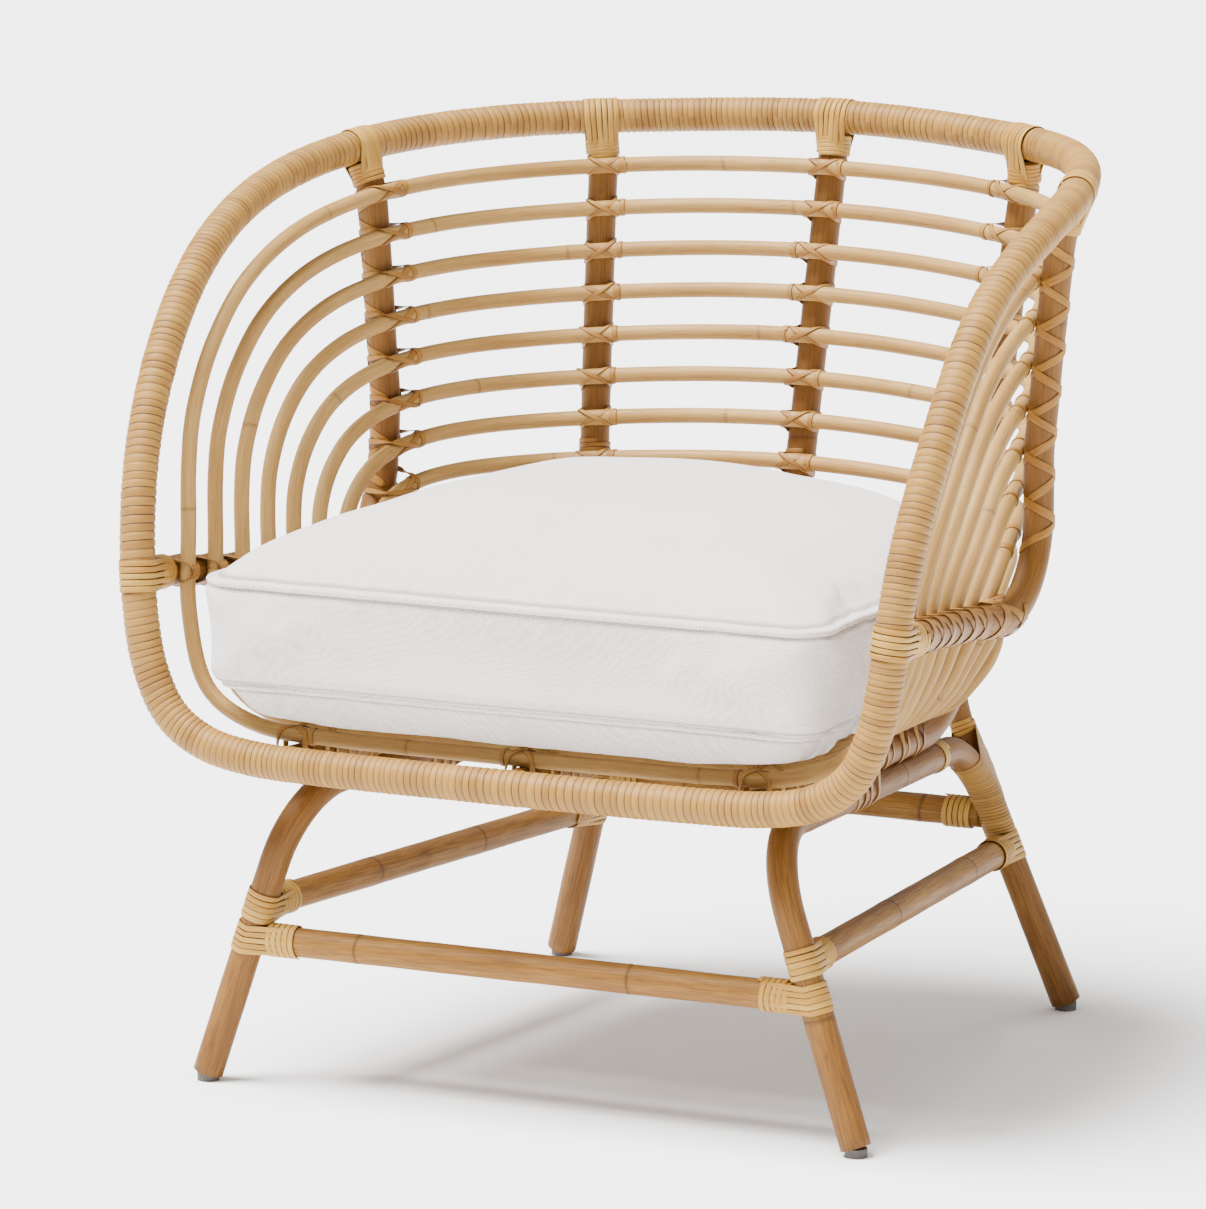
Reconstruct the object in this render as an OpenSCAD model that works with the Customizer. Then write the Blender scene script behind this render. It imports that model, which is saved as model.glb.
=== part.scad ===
// Free-standing cane tub armchair with a loose box cushion.
// The front faces -Y, +X is to the sitter's left, and the floor is Z = 0.

/* [Overall size] */
// Width over the wound rim
chair_width = 720; // [640:5:800]
// Depth over the wound rim
chair_depth = 646; // [580:2:720]
// Height from the floor to the top of the wound rim
chair_height = 749; // [690:1:800]
// Height of the middle of the front rail of the rim
front_rail_height = 274; // [262:1:284]

/* [Poles] */
// Diameter of the bare pole inside the rim
rim_pole_d = 26; // [22:0.5:28]
// Thickness of the peel wound on the rim
peel_thick = 1.4; // [0.8:0.1:2]
// Diameter of the legs, posts, side members and stretchers
pole_d = 25; // [21:0.5:26]
// Diameter of the thin hoops
hoop_d = 13; // [9:0.5:14]
// Diameter of the rear braces
brace_d = 20; // [14:0.5:22]
// Gap left between a pole and the pole that it is bound to
seat_gap = 0.3; // [0.2:0.05:0.5]

/* [Hoops] */
// Half width of the outermost hoop
outer_half_width = 326.5; // [318:0.5:330]
// Half width of the lowest hoop that shows above the cushion
middle_half_width = 281; // [270:0.5:290]
// Half width of the smallest hoop, behind and below the cushion
inner_half_width = 242; // [234:0.5:248]
// How far the front bar of the outermost hoop lies behind the rim
outer_hoop_inset = 33; // [29:0.5:40]
// Distance between the seat bars of one hoop and the next
seat_bar_pitch = 34.5; // [30:0.5:38]
// Height of the front bar of the outermost hoop
outer_bar_height = 291; // [288:0.5:296]
// Fall of the seat bars from the first of the eight outer hoops to the last
seat_fall = 9; // [5:0.5:14]
// Distance from the rim down to the outermost hoop at the back
outer_hoop_drop = 39.5; // [34:0.5:44]
// Distance from one hoop down to the next at the back
back_bar_pitch = 34.4; // [31:0.2:36]
// Distance that each hoop lies further forward than the one above, at the back
back_lean_step = 8.6; // [6:0.2:10]
// Distance from the back of the rim forward to the outermost hoop
outer_hoop_lead = 27.5; // [24:0.5:32]

/* [Posts and side members] */
// Distance of the outer posts from the middle of the chair, at the rim
post_top_half = 195.5; // [190:0.5:202]
// Distance of the outer posts from the middle, where they turn under the seat
post_low_half = 171; // [166:0.5:176]
// Distance of the front ends of the outer posts from the middle
post_front_half = 205; // [202:0.5:208]
// Bend radius where a post turns under the seat
post_bend = 96; // [80:1:100]
// Distance of the side members behind the middle, at the rim
member_top_reach = 64; // [54:1:74]
// Distance of the bend of a side member behind the middle
member_bend_reach = 52; // [44:1:60]
// Height of the bend of a side member
member_bend_height = 374; // [366:1:384]
// Height where a side member meets the front of the rim
member_front_height = 416; // [400:1:430]
// Bend radius of a side member
member_bend = 80; // [60:1:100]

/* [Legs] */
// Half spread of the front feet
front_foot_half = 288; // [270:1:300]
// Half spread of the rear feet
rear_foot_half = 236; // [215:1:250]
// Distance of the front feet in front of the middle
front_foot_reach = 272; // [255:1:285]
// Distance of the rear feet behind the middle
rear_foot_reach = 264; // [250:1:280]
// Half spread of the front knees
front_knee_half = 207; // [200:1:214]
// Half spread of the rear knees
rear_knee_half = 163; // [155:1:170]
// Distance of the front knees in front of the middle
front_knee_reach = 265; // [250:1:270]
// Distance of the rear knees behind the middle
rear_knee_reach = 218; // [205:1:226]
// Bend radius of the knees
knee_bend = 68; // [50:1:80]
// Diameter of a glide under a foot
glide_d = 18; // [14:0.5:20]
// Height of a glide
glide_height = 7; // [4:0.5:10]

/* [Stretchers] */
// Diameter of the stretchers
stretcher_d = 24; // [18:0.5:25]
// Height of the front stretcher
front_stretcher_height = 121; // [110:1:123]
// Height of the front end of a side stretcher
side_stretcher_front = 149; // [147:1:160]
// Height of the rear end of a side stretcher
side_stretcher_rear = 140; // [125:1:143]
// Height of the rear stretcher
rear_stretcher_height = 168; // [166:1:176]

/* [Bindings] */
// Thickness of the strips of peel in the bindings
strip_thick = 1.2; // [0.8:0.1:1.6]
// Gap between two turns of a binding
turn_gap = 0.6; // [0.5:0.1:1]
// Width of the strip bound round the ends of the stretchers
strip_width = 5.6; // [4:0.1:6.5]
// Turns of the strip bound round an end of a stretcher
stretcher_turns = 4; // [2:1:5]
// Width of the strip bound round the top of a post
top_strip_width = 3; // [2:0.1:3.4]

/* [Cushion] */
// Half width of the cushion at its front
cushion_front_half = 274; // [255:1:276]
// Distance of the front of the cushion in front of the middle
cushion_front_reach = 316; // [300:1:317]
// Distance of the back of the cushion behind the middle
cushion_back_reach = 195; // [180:1:200]
// Height of the lower seam of the box side
lower_seam_height = 337; // [332:1:345]
// Height of the upper seam of the box side
upper_seam_height = 418; // [400:1:430]
// Rise of the crown above the upper seam
crown_rise = 64; // [45:1:72]
// Bulge of the underside below the lower seam
under_bulge = 39; // [34:0.5:46]
// How far the box side draws in between its seams
side_draw = 4; // [0:0.5:8]

/* [Hidden] */
peel_colour = "#dcb98a";
rod_colour = "#d9c096";
post_colour = "#c69a63";
leg_colour = "#c09456";
rim_r = rim_pole_d / 2 + peel_thick;
pole_r = pole_d / 2;
pole_sides = 10;
hoop_sides = 8;
pole_flat = pole_r * cos(180 / pole_sides); // from a pole's axis to the flat it is bound by
hoop_r = hoop_d / 2;
back_y = chair_depth / 2 - rim_r;
front_y = -back_y;
rim_half_width = chair_width / 2 - rim_r;
rim_top = chair_height - rim_r;
hoop_count = 11;
outer_run = 7; // steps from the outermost hoop to the lowest one above the cushion
inner_run = hoop_count - 1 - outer_run;
wrap_gap = 0.15; // between the rim pole and the peel wound on it
turn_rings = 8; // rings to a turn of a bound strip
brace_bend = 120;
brace_end_height = 165;
brace_waist_shift = [-14, 25, 32]; // from the rear knee to the narrowest part of a brace
brace_end_side = [0.25, 1, 0.3]; // way from the rear leg to the end of the brace bound to it
coping_reach = 40; // length of the hollows in the ends of a stretcher
// rings to each bend point of a loop
rim_steps = 3;
// stretch of a hoop, in bend points, that is looked at beside a pole, and looks to each side
near_share = 0.8;
near_looks = 16;
hoop_steps = 2;
cushion_steps = 2;
piping = 3; // how far the piping stands off the seams
piping_half = 1;
crown_power = 2.4;
crown_shares = [0.2, 0.45, 0.7, 0.88, 0.97]; // rings of the crown and of the underside

// ---- small vector and curve helpers ----

function unit(v) = v / norm(v);
function square_to(v, t) = unit(v - (v * t) * t);
function mix(a, b, f) = a * (1 - f) + b * f;
// The point p moved along t onto the plane of a seat, where there is one.
function onto(p, t, seat) = is_undef(seat) ? p : p + t * ((seat[0] - p) * seat[1]) / (t * seat[1]);
function flip(p) = [-p[0], p[1], p[2]];

// A uniform cubic spline pulled by four of its bend points.
function spline_point(a, b, c, d, t) =
    (a * pow(1 - t, 3) + b * (3 * pow(t, 3) - 6 * pow(t, 2) + 4)
     + c * (3 * t + 3 * pow(t, 2) - 3 * pow(t, 3) + 1) + d * pow(t, 3)) / 6;

// A closed loop from the bend points of its right half, front middle to back middle.
function whole_loop(half) = concat(half, [for (i = [len(half) - 2:-1:1]) flip(half[i])]);
function loop_point(c, i, t) =
    let (n = len(c))
    spline_point(c[(i + n - 1) % n], c[i], c[(i + 1) % n], c[(i + 2) % n], t);
function loop_path(half, steps) =
    let (c = whole_loop(half))
    [for (i = [0:len(c) - 1], k = [0:steps - 1]) loop_point(c, i, k / steps)];

// Points on the arc that rounds the corner b of a pole bent from a towards c.
function bend_arc(a, b, c, radius, steps) =
    let (
        u = unit(a - b),
        w = unit(c - b),
        half = acos(u * w) / 2,
        turn = 180 - 2 * half,
        centre = b + unit(u + w) * radius / sin(half),
        first = b + u * radius / tan(half) - centre,
        last = b + w * radius / tan(half) - centre
    )
    [for (k = [0:steps])
        centre + (first * sin((1 - k / steps) * turn) + last * sin(k / steps * turn)) / sin(turn)];

// A straight pole with rounded corners, from its corner points.
function bent_path(points, radius, steps) = concat(
    [points[0]],
    [for (i = [1:len(points) - 2]) each bend_arc(points[i - 1], points[i], points[i + 1], radius, steps)],
    [points[len(points) - 1]]
);

// ---- solids swept along a path ----

function ring(p, t, side, radius, sides) =
    let (u = square_to(side, t), w = cross(t, u))
    [for (k = [0:sides - 1]) p + radius * (u * cos(360 * k / sides) + w * sin(360 * k / sides))];

function skin_faces(rings, sides, closed) = [
    for (i = [0:rings - (closed ? 1 : 2)], k = [0:sides - 1])
        let (
            a = i * sides + k,
            b = i * sides + (k + 1) % sides,
            c = ((i + 1) % rings) * sides + (k + 1) % sides,
            d = ((i + 1) % rings) * sides + k
        )
        each [[a, c, b], [a, d, c]]
];

// A closed hoop; each ring is squared to the path and faces out from the loop's middle.
module closed_pole(path, radius, sides) {
    n = len(path);
    middle = [0, (path[0][1] + back_y) / 2, (path[0][2] + rim_top) / 2];
    points = [for (i = [0:n - 1])
        each ring(path[i], unit(path[(i + 1) % n] - path[(i + n - 1) % n]), path[i] - middle,
                  radius, sides)];
    polyhedron(points, skin_faces(n, sides, true), 4);
}

// A solid through a row of rings, closed at both ends.
module capped_skin(rings) {
    sides = len(rings[0]);
    first_cap = [for (k = [1:sides - 2]) [0, k, k + 1]];
    start = (len(rings) - 1) * sides;
    last_cap = [for (k = [1:sides - 2]) [start, start + k + 1, start + k]];
    polyhedron([for (r = rings) each r],
               concat(skin_faces(len(rings), sides, false), first_cap, last_cap), 4);
}

// A pole with two ends; side keeps the rings from turning along it.
// A seat is a point and a normal; the end that has one is cut flat along that plane.
module open_pole(path, radius, sides, side, first_seat = undef, last_seat = undef) {
    n = len(path);
    tangents = [for (i = [0:n - 1]) unit(path[min(i + 1, n - 1)] - path[max(i - 1, 0)])];
    rings = [for (i = [0:n - 1]) ring(path[i], tangents[i], side, radius, sides)];
    capped_skin(concat(
        [[for (p = rings[0]) onto(p, tangents[0], first_seat)]],
        [for (i = [1:n - 2]) rings[i]],
        [[for (p = rings[n - 1]) onto(p, tangents[n - 1], last_seat)]]
    ));
}

// ---- the tub: rim and hoops ----

// Bend points of half a loop, as shares of its half width, its depth and its rise.
rim_shape = [
    [0, 0, 0], [0.52, 0, 0], [0.93, 0, 0.011], [0.962, 0, 0.395], [1, 0.08, 0.618],
    [1, 0.228, 0.873], [1.006, 0.528, 0.97], [0.79, 0.85, 0.987], [0.42, 0.973, 0.99],
    [0, 1.0135, 1.005]
];
outer_shape = [
    [0, 0, 0], [0.53, 0, 0], [0.944, 0, 0.013], [0.959, 0.052, 0.431], [1, 0.077, 0.595],
    [1, 0.23, 0.87], [0.94, 0.504, 0.982], [0.808, 0.873, 0.975], [0.42, 0.976, 0.996],
    [0, 1.012, 1.002]
];
inner_shape = [
    [0, 0, 0], [0.512, 0, 0], [0.867, -0.04, 0.065], [0.952, 0.048, 0.461], [1, 0.094, 0.662],
    [1, 0.24, 0.891], [0.94, 0.502, 0.955], [0.796, 0.864, 0.94], [0.42, 0.973, 0.983],
    [0, 1.0135, 1.0085]
];

function loop_bends(shape, half_width, front, back, base, top) = [
    for (s = shape) [s[0] * half_width, mix(front, back, s[1]), mix(base, top, s[2])]
];
function hoop_share(k) = min(k - 1, outer_run) / outer_run;
function hoop_half_width(k) =
    k - 1 <= outer_run
        ? mix(outer_half_width, middle_half_width, hoop_share(k))
        : mix(middle_half_width, inner_half_width, (k - 1 - outer_run) / inner_run);
function hoop_front(k) = front_y + outer_hoop_inset + (k - 1) * seat_bar_pitch;
function hoop_back(k) = back_y - outer_hoop_lead - (k - 1) * back_lean_step;
function hoop_base(k) = outer_bar_height - seat_fall * (k - 1) / outer_run;
function hoop_top(k) = rim_top - outer_hoop_drop - (k - 1) * back_bar_pitch;
function hoop_shape(k) = [
    for (i = [0:len(outer_shape) - 1]) mix(outer_shape[i], inner_shape[i], hoop_share(k))
];
function hoop_bends(k) = loop_bends(
    hoop_shape(k), hoop_half_width(k), hoop_front(k), hoop_back(k), hoop_base(k), hoop_top(k)
);
rim_bends = loop_bends(rim_shape, rim_half_width, front_y, back_y, front_rail_height, rim_top);

// A point on the straight runs between the rings of a loop that has steps rings to a bend.
function run_point(c, share, steps) =
    let (i = floor(share * steps))
    mix(loop_point(c, floor(i / steps), i / steps - floor(i / steps)),
        loop_point(c, floor((i + 1) / steps), (i + 1) / steps - floor((i + 1) / steps)),
        share * steps - i);
// Share of the way round a loop, between two bend points, where its right half
// passes a value along one axis; way is 1 where the value rises on the way, else -1.
function passing_share(c, steps, axis, value, way, low, high, tries = 24) =
    let (s = (low + high) / 2)
    tries == 0
        ? s
        : way * run_point(c, s, steps)[axis] < way * value
            ? passing_share(c, steps, axis, value, way, s, high, tries - 1)
            : passing_share(c, steps, axis, value, way, low, s, tries - 1);
// The whole loop, and the share of the way round it at the passing point.
function passing(half, steps, axis, value, way, low, high) =
    let (c = whole_loop(half))
    [c, passing_share(c, steps, axis, value, way, low, high)];
function place_point(place, steps) = run_point(place[0], place[1], steps);
// The back of a loop at a given X, its arm at a given Y, and its front corner at a given Z.
function back_at(half, steps, x) = passing(half, steps, 0, x, -1, 6, 9.2);
function arm_at(half, steps, y) = passing(half, steps, 1, y, 1, 4, 8);
function corner_at(half, steps, z) = passing(half, steps, 2, z, 1, 1, 5);

module rim_pole() {
    color(post_colour) closed_pole(loop_path(rim_bends, rim_steps), rim_pole_d / 2, pole_sides);
}

// A sleeve of close turns; it starts and ends at the middle of the front rail.
module rim_winding() {
    path = loop_path(rim_bends, rim_steps);
    n = len(path);
    slit = 0.5;
    shell = concat([path[0] + [slit, 0, 0]], [for (i = [1:n - 1]) path[i]], [path[0] - [slit, 0, 0]]);
    middle = [0, (front_y + back_y) / 2, (front_rail_height + rim_top) / 2];
    rings = n + 1;
    tangent = function (i)
        i == 0 || i == n ? [1, 0, 0] : unit(path[(i + 1) % n] - path[i - 1]);
    skin_points = function (radius) [
        for (i = [0:n]) each ring(shell[i], tangent(i), shell[i] - middle, radius, pole_sides)
    ];
    outer = skin_points(rim_r);
    inner = skin_points(rim_pole_d / 2 + wrap_gap);
    inner_start = rings * pole_sides;
    end_start = (rings - 1) * pole_sides;
    skin = skin_faces(rings, pole_sides, false);
    inner_skin = [for (f = skin) [f[0] + inner_start, f[2] + inner_start, f[1] + inner_start]];
    ends = [
        for (k = [0:pole_sides - 1])
            let (m = (k + 1) % pole_sides)
            each [
                [k, m, inner_start + m], [k, inner_start + m, inner_start + k],
                [end_start + k, inner_start + end_start + m, end_start + m],
                [end_start + k, inner_start + end_start + k, inner_start + end_start + m]
            ]
    ];
    color(peel_colour) polyhedron(concat(outer, inner), concat(skin, inner_skin, ends), 4);
}

module hoop(k) {
    color(rod_colour) closed_pole(loop_path(hoop_bends(k), hoop_steps), hoop_r, hoop_sides);
}

// ---- posts and side members ----

bound_gap = hoop_r + seat_gap + pole_flat;
bar_slope = seat_fall / (outer_run * seat_bar_pitch);
function under_bars(y) = outer_bar_height - bound_gap - bar_slope * (y - hoop_front(1));

// How far off a hoop the axis of a pole that runs along way lies, on the side out, so
// that the pole just clears every run of the hoop near that place.
function seat_reach(place, way, out, reach = bound_gap, tries = 5) =
    let (
        axis_point = place_point(place, hoop_steps) + out * reach,
        near = min([
            for (step = [-near_share:near_share / near_looks:near_share])
                norm(cross(run_point(place[0], place[1] + step, hoop_steps) - axis_point, way))
        ])
    )
    tries == 0 ? reach : seat_reach(place, way, out, reach + bound_gap - near, tries - 1);
function outside(place, way, out) =
    place_point(place, hoop_steps) + out * seat_reach(place, way, out);

function post_half(z) =
    mix(post_low_half, post_top_half, (z - outer_bar_height) / (rim_top - outer_bar_height));
function post_way(side) = unit([
    side * (post_top_half - post_low_half) / (rim_top - outer_bar_height),
    back_lean_step / back_bar_pitch,
    1
]);
function behind_hoop(k, side) =
    outside(back_at(hoop_bends(k), hoop_steps, side * post_half(hoop_top(k))), post_way(side),
            [0, 1, 0]);

// How far hoop k climbs against way, at most, within a distance of where it crosses a post.
function hoop_climb(k, side, way, within) =
    let (
        place = back_at(hoop_bends(k), hoop_steps, side * post_half(hoop_top(k))),
        middle = place_point(place, hoop_steps)
    )
    max([
        for (d = [-0.5:0.05:0.5])
            let (off = run_point(place[0], place[1] + d, hoop_steps) - middle)
            if (norm(off) < within) -off * way
    ]);

// The plane just off the rim on which the end of a pole that leaves it along way is cut.
function rim_seat(place, way) =
    let (
        at = place_point(place, rim_steps),
        run = run_point(place[0], place[1] + 0.5, rim_steps)
            - run_point(place[0], place[1] - 0.5, rim_steps),
        normal = square_to(way, unit(run)),
        cap = pole_r / norm(run),
        drop = max([
            for (s = [-cap:cap / near_looks:cap])
                (run_point(place[0], place[1] + s, rim_steps) - at) * normal
        ])
    )
    [at + normal * (rim_r + seat_gap + drop), normal];

function post_seat(side) =
    let (place = back_at(rim_bends, rim_steps, side * post_half(rim_top)))
    rim_seat(place, behind_hoop(1, side) - place_point(place, rim_steps));
// The path of the post on one side, or in the middle where side is 0.
function post_path(side) =
    let (
        way = post_way(side),
        low = behind_hoop(hoop_count, side),
        lean = way[1] / way[2],
        // where the line behind the hoops meets the line below the bars
        drop = (low[2] - under_bars(low[1])) / (1 + bar_slope * lean),
        rim_place = place_point(back_at(rim_bends, rim_steps, side * post_half(rim_top)), rim_steps),
        front_end_y = front_y + rim_r + seat_gap,
        front_end = [side * post_front_half, front_end_y, under_bars(front_end_y)],
        corner = low - way * (drop / way[2])
    )
    concat(
        [onto(rim_place, unit(behind_hoop(1, side) - rim_place), post_seat(side))],
        [for (k = [1:hoop_count - 1]) behind_hoop(k, side)],
        bent_path([low, corner, front_end], post_bend, 7)
    );

module post(side) {
    path = post_path(abs(side));
    seat = post_seat(abs(side));
    color(post_colour)
        if (side < 0) {
            open_pole([for (p = path) flip(p)], pole_r, pole_sides, [1, 0, 0], [for (p = seat) flip(p)]);
        } else {
            open_pole(path, pole_r, pole_sides, [1, 0, 0], seat);
        }
}

member_fall = (outer_half_width - middle_half_width) / outer_run;
member_up = unit([
    member_fall / back_bar_pitch,
    (member_top_reach - member_bend_reach) / (rim_top - member_bend_height),
    1
]);
member_ahead = unit([
    member_fall / seat_bar_pitch,
    -1,
    (member_front_height - member_bend_height) / (member_bend_reach - front_y)
]);
// The upright limb beside hoop k, and the limb that runs forward under its front corner.
function beside_hoop(k) =
    let (
        rise = (hoop_top(k) - member_bend_height) / (rim_top - member_bend_height),
        y = mix(member_bend_reach, member_top_reach, rise)
    )
    outside(arm_at(hoop_bends(k), hoop_steps, y), member_up, [1, 0, 0]);
function below_hoop(k) =
    let (
        forward = (member_bend_reach - hoop_front(k)) / (member_bend_reach - front_y),
        z = mix(member_bend_height, member_front_height, forward)
    )
    outside(corner_at(hoop_bends(k), hoop_steps, z), member_ahead, [1, 0, 0]);

member_top = arm_at(rim_bends, rim_steps, member_top_reach);
member_front = corner_at(rim_bends, rim_steps, member_front_height);
top_seat = rim_seat(member_top, beside_hoop(1) - place_point(member_top, rim_steps));
front_seat = rim_seat(member_front, below_hoop(1) - place_point(member_front, rim_steps));
// Where a line from the rim to a point on a pole meets the seat of that pole.
function end_on(place, towards, seat) =
    let (at = place_point(place, rim_steps))
    onto(at, unit(towards - at), seat);

function member_path() =
    let (
        low = beside_hoop(outer_run - 1),
        back = below_hoop(outer_run - 1),
        bend = [(low[0] + back[0]) / 2, member_bend_reach, member_bend_height]
    )
    concat(
        [end_on(member_top, beside_hoop(1), top_seat)],
        [for (k = [1:outer_run - 2]) beside_hoop(k)],
        bent_path([low, bend, back], member_bend, 8),
        [for (k = [outer_run - 2:-1:1]) below_hoop(k)],
        [end_on(member_front, below_hoop(1), front_seat)]
    );

module side_member(side) {
    path = member_path();
    color(post_colour)
        if (side < 0) {
            open_pole([for (p = path) flip(p)], pole_r, pole_sides, [0, 1, -1],
                      [for (p = top_seat) flip(p)], [for (p = front_seat) flip(p)]);
        } else {
            open_pole(path, pole_r, pole_sides, [0, 1, -1], top_seat, front_seat);
        }
}

// ---- legs, braces and stretchers ----

front_foot = [front_foot_half, -front_foot_reach, glide_height];
rear_foot = [rear_foot_half, rear_foot_reach, glide_height];
function under_posts(y) = under_bars(y) - 2 * pole_flat - seat_gap;
front_knee = [front_knee_half, -front_knee_reach, under_posts(-front_knee_reach)];
rear_knee = [rear_knee_half, rear_knee_reach, under_posts(rear_knee_reach)];
function on_front_leg(z) = mix(front_foot, front_knee, (z - glide_height) / (front_knee[2] - glide_height));
function on_rear_leg(z) = mix(rear_foot, rear_knee, (z - glide_height) / (rear_knee[2] - glide_height));

module leg_frame(side) {
    path = bent_path([front_foot, front_knee, rear_knee, rear_foot], knee_bend, 7);
    level = [[0, 0, glide_height], [0, 0, 1]];
    color(leg_colour)
        open_pole(side < 0 ? [for (p = path) flip(p)] : path, pole_r, pole_sides, [1, 0, 0],
                  level, level);
}

brace_gap = pole_flat + brace_d / 2 + seat_gap;
brace_top = behind_hoop(outer_run + 1, 1) + [0, brace_gap / post_way(1)[2], 0];
brace_waist = rear_knee + brace_waist_shift;
brace_end = on_rear_leg(brace_end_height) + brace_gap * unit(brace_end_side);

module rear_brace(side) {
    path = bent_path([brace_top, brace_waist, brace_end], brace_bend, 5);
    color(post_colour)
        open_pole(side < 0 ? [for (p = path) flip(p)] : path, brace_d / 2, hoop_sides, [1, 0, 0]);
}

// A round bar from a to b.
module bar(a, b, d) {
    v = b - a;
    translate(a)
        rotate([0, acos(v[2] / norm(v)), atan2(v[1], v[0])])
            cylinder(h = norm(v), d = d, $fn = 48);
}

// A stretcher from a to b, its ends hollowed to fit the legs that run along ua and ub.
module stretcher(a, ua, b, ub) {
    color(leg_colour)
        difference() {
            bar(a, b, stretcher_d);
            bar(a - ua * coping_reach, a + ua * coping_reach, pole_d + 2 * seat_gap);
            bar(b - ub * coping_reach, b + ub * coping_reach, pole_d + 2 * seat_gap);
        }
}
front_leg_way = unit(front_knee - front_foot);
rear_leg_way = unit(rear_knee - rear_foot);

module front_stretcher() {
    a = on_front_leg(front_stretcher_height);
    stretcher(flip(a), flip(front_leg_way), a, front_leg_way);
}

module rear_stretcher() {
    a = on_rear_leg(rear_stretcher_height);
    stretcher(flip(a), flip(rear_leg_way), a, rear_leg_way);
}

module side_stretcher(side) {
    a = on_front_leg(side_stretcher_front);
    b = on_rear_leg(side_stretcher_rear);
    if (side < 0)
        stretcher(flip(a), flip(front_leg_way), flip(b), flip(rear_leg_way));
    else
        stretcher(a, front_leg_way, b, rear_leg_way);
}

// ---- bindings of split peel ----

// Radius of the middle of a strip that clears a pole between its own rings.
function bound_radius(r) = (r + seat_gap) / cos(180 / turn_rings) + strip_thick / 2;
strip_form = [[1, 0], [0.5, 1], [-0.5, 1], [-1, 0], [-0.5, -1], [0.5, -1]];

// One strip wound round a pole, from start along way, its turns side by side.
module binding(title, start, way, radius, turns, pitch, width) {
    out = square_to([0, 1, 1], way);
    up = cross(way, out);
    sections = [
        for (i = [0:turns * turn_rings])
            let (
                n = out * cos(360 * i / turn_rings) + up * sin(360 * i / turn_rings),
                centre = start + way * (pitch * i / turn_rings) + n * radius
            )
            [for (f = strip_form) centre + way * (f[0] * width / 2) + n * (f[1] * strip_thick / 2)]
    ];
    own_gap = min([
        for (i = [0:len(sections) - 1 - turn_rings], a = sections[i], b = sections[i + turn_rings])
            norm(a - b)
    ]);
    echo(str(title, ": least gap to itself ", own_gap, " mm"));
    color(peel_colour) capped_skin(sections);
}

// On the way from a point on a leg to a point on another leg, where the leg is just cleared.
function off_leg(a, leg_way, to, radius) =
    let (
        way = unit(to - a),
        slant = abs(way * leg_way),
        clear = pole_r + 2 * seat_gap + (radius + strip_thick / 2) * slant
    )
    a + way * (clear / sqrt(1 - slant * slant) + strip_width / 2);

module stretcher_binding(title, a, leg_way, to) {
    radius = bound_radius(stretcher_d / 2);
    binding(title, off_leg(a, leg_way, to, radius), unit(to - a), radius, stretcher_turns,
            strip_width + turn_gap, strip_width);
}

front_joint = on_front_leg(front_stretcher_height);
rear_joint = on_rear_leg(rear_stretcher_height);
side_front_joint = on_front_leg(side_stretcher_front);
side_rear_joint = on_rear_leg(side_stretcher_rear);
function sided(v, side) = [side * v[0], v[1], v[2]];

module front_binding(title, side) {
    stretcher_binding(title, sided(front_joint, side), sided(front_leg_way, side),
                      sided(front_joint, -side));
}

module rear_binding(title, side) {
    stretcher_binding(title, sided(rear_joint, side), sided(rear_leg_way, side),
                      sided(rear_joint, -side));
}

module side_binding_front(title, side) {
    stretcher_binding(title, sided(side_front_joint, side), sided(front_leg_way, side),
                      sided(side_rear_joint, side));
}

module side_binding_rear(title, side) {
    stretcher_binding(title, sided(side_rear_joint, side), sided(rear_leg_way, side),
                      sided(side_front_joint, side));
}

// Round the top of a post, between the rim and the outermost hoop.
module post_binding(title, side) {
    seat = post_seat(abs(side));
    top = post_path(abs(side))[0];
    hoop_side = behind_hoop(1, abs(side));
    way = unit(hoop_side - top);
    radius = bound_radius(pole_r);
    proud = radius + strip_thick / 2;
    lean = sqrt(max(0, 1 - pow(way * seat[1], 2)));
    first = 2 * seat_gap + proud * lean + top_strip_width / 2;
    hoop_reach = hoop_r + hoop_climb(1, abs(side), way, proud + hoop_r);
    last = norm(hoop_side - top) - hoop_reach - 2 * seat_gap - top_strip_width / 2;
    // as many eighths of a turn as the room left holds
    pitch = top_strip_width + turn_gap;
    turns = floor((last - first) / pitch * turn_rings) / turn_rings;
    handed = side < 0 ? -1 : 1;
    binding(title, sided(top + way * first, handed), sided(way, handed), radius, turns,
            pitch, top_strip_width);
}

module glide(foot, side) {
    color("#9a9088")
        translate([side * foot[0], foot[1], 0])
            cylinder(h = glide_height, d = glide_d, $fn = 48);
}

// ---- cushion ----

// Outlines seen from above, as shares of the front half width and of the depth: the lower
// seam draws in towards the back, where the tub is narrower, and the upper one less.
lower_outline = [
    [0, 0], [0.55, 0], [0.93, 0], [0.985, 0], [0.98, 0.06], [0.96, 0.16], [0.895, 0.35],
    [0.86, 0.6], [0.78, 0.8], [0.45, 0.94], [0, 0.97]
];
upper_outline = [
    [0, 0], [0.55, 0], [0.93, 0], [1, 0], [1, 0.06], [1, 0.18], [1.005, 0.35], [0.975, 0.6],
    [0.87, 0.84], [0.48, 0.985], [0, 1.008]
];
cushion_depth = cushion_front_reach + cushion_back_reach;
function seam_path(outline) = loop_path(
    [for (s = outline) [s[0] * cushion_front_half, s[1] * cushion_depth - cushion_front_reach, 0]],
    cushion_steps
);
cushion_middle = [0, (cushion_back_reach - cushion_front_reach) / 2, 0];

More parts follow.
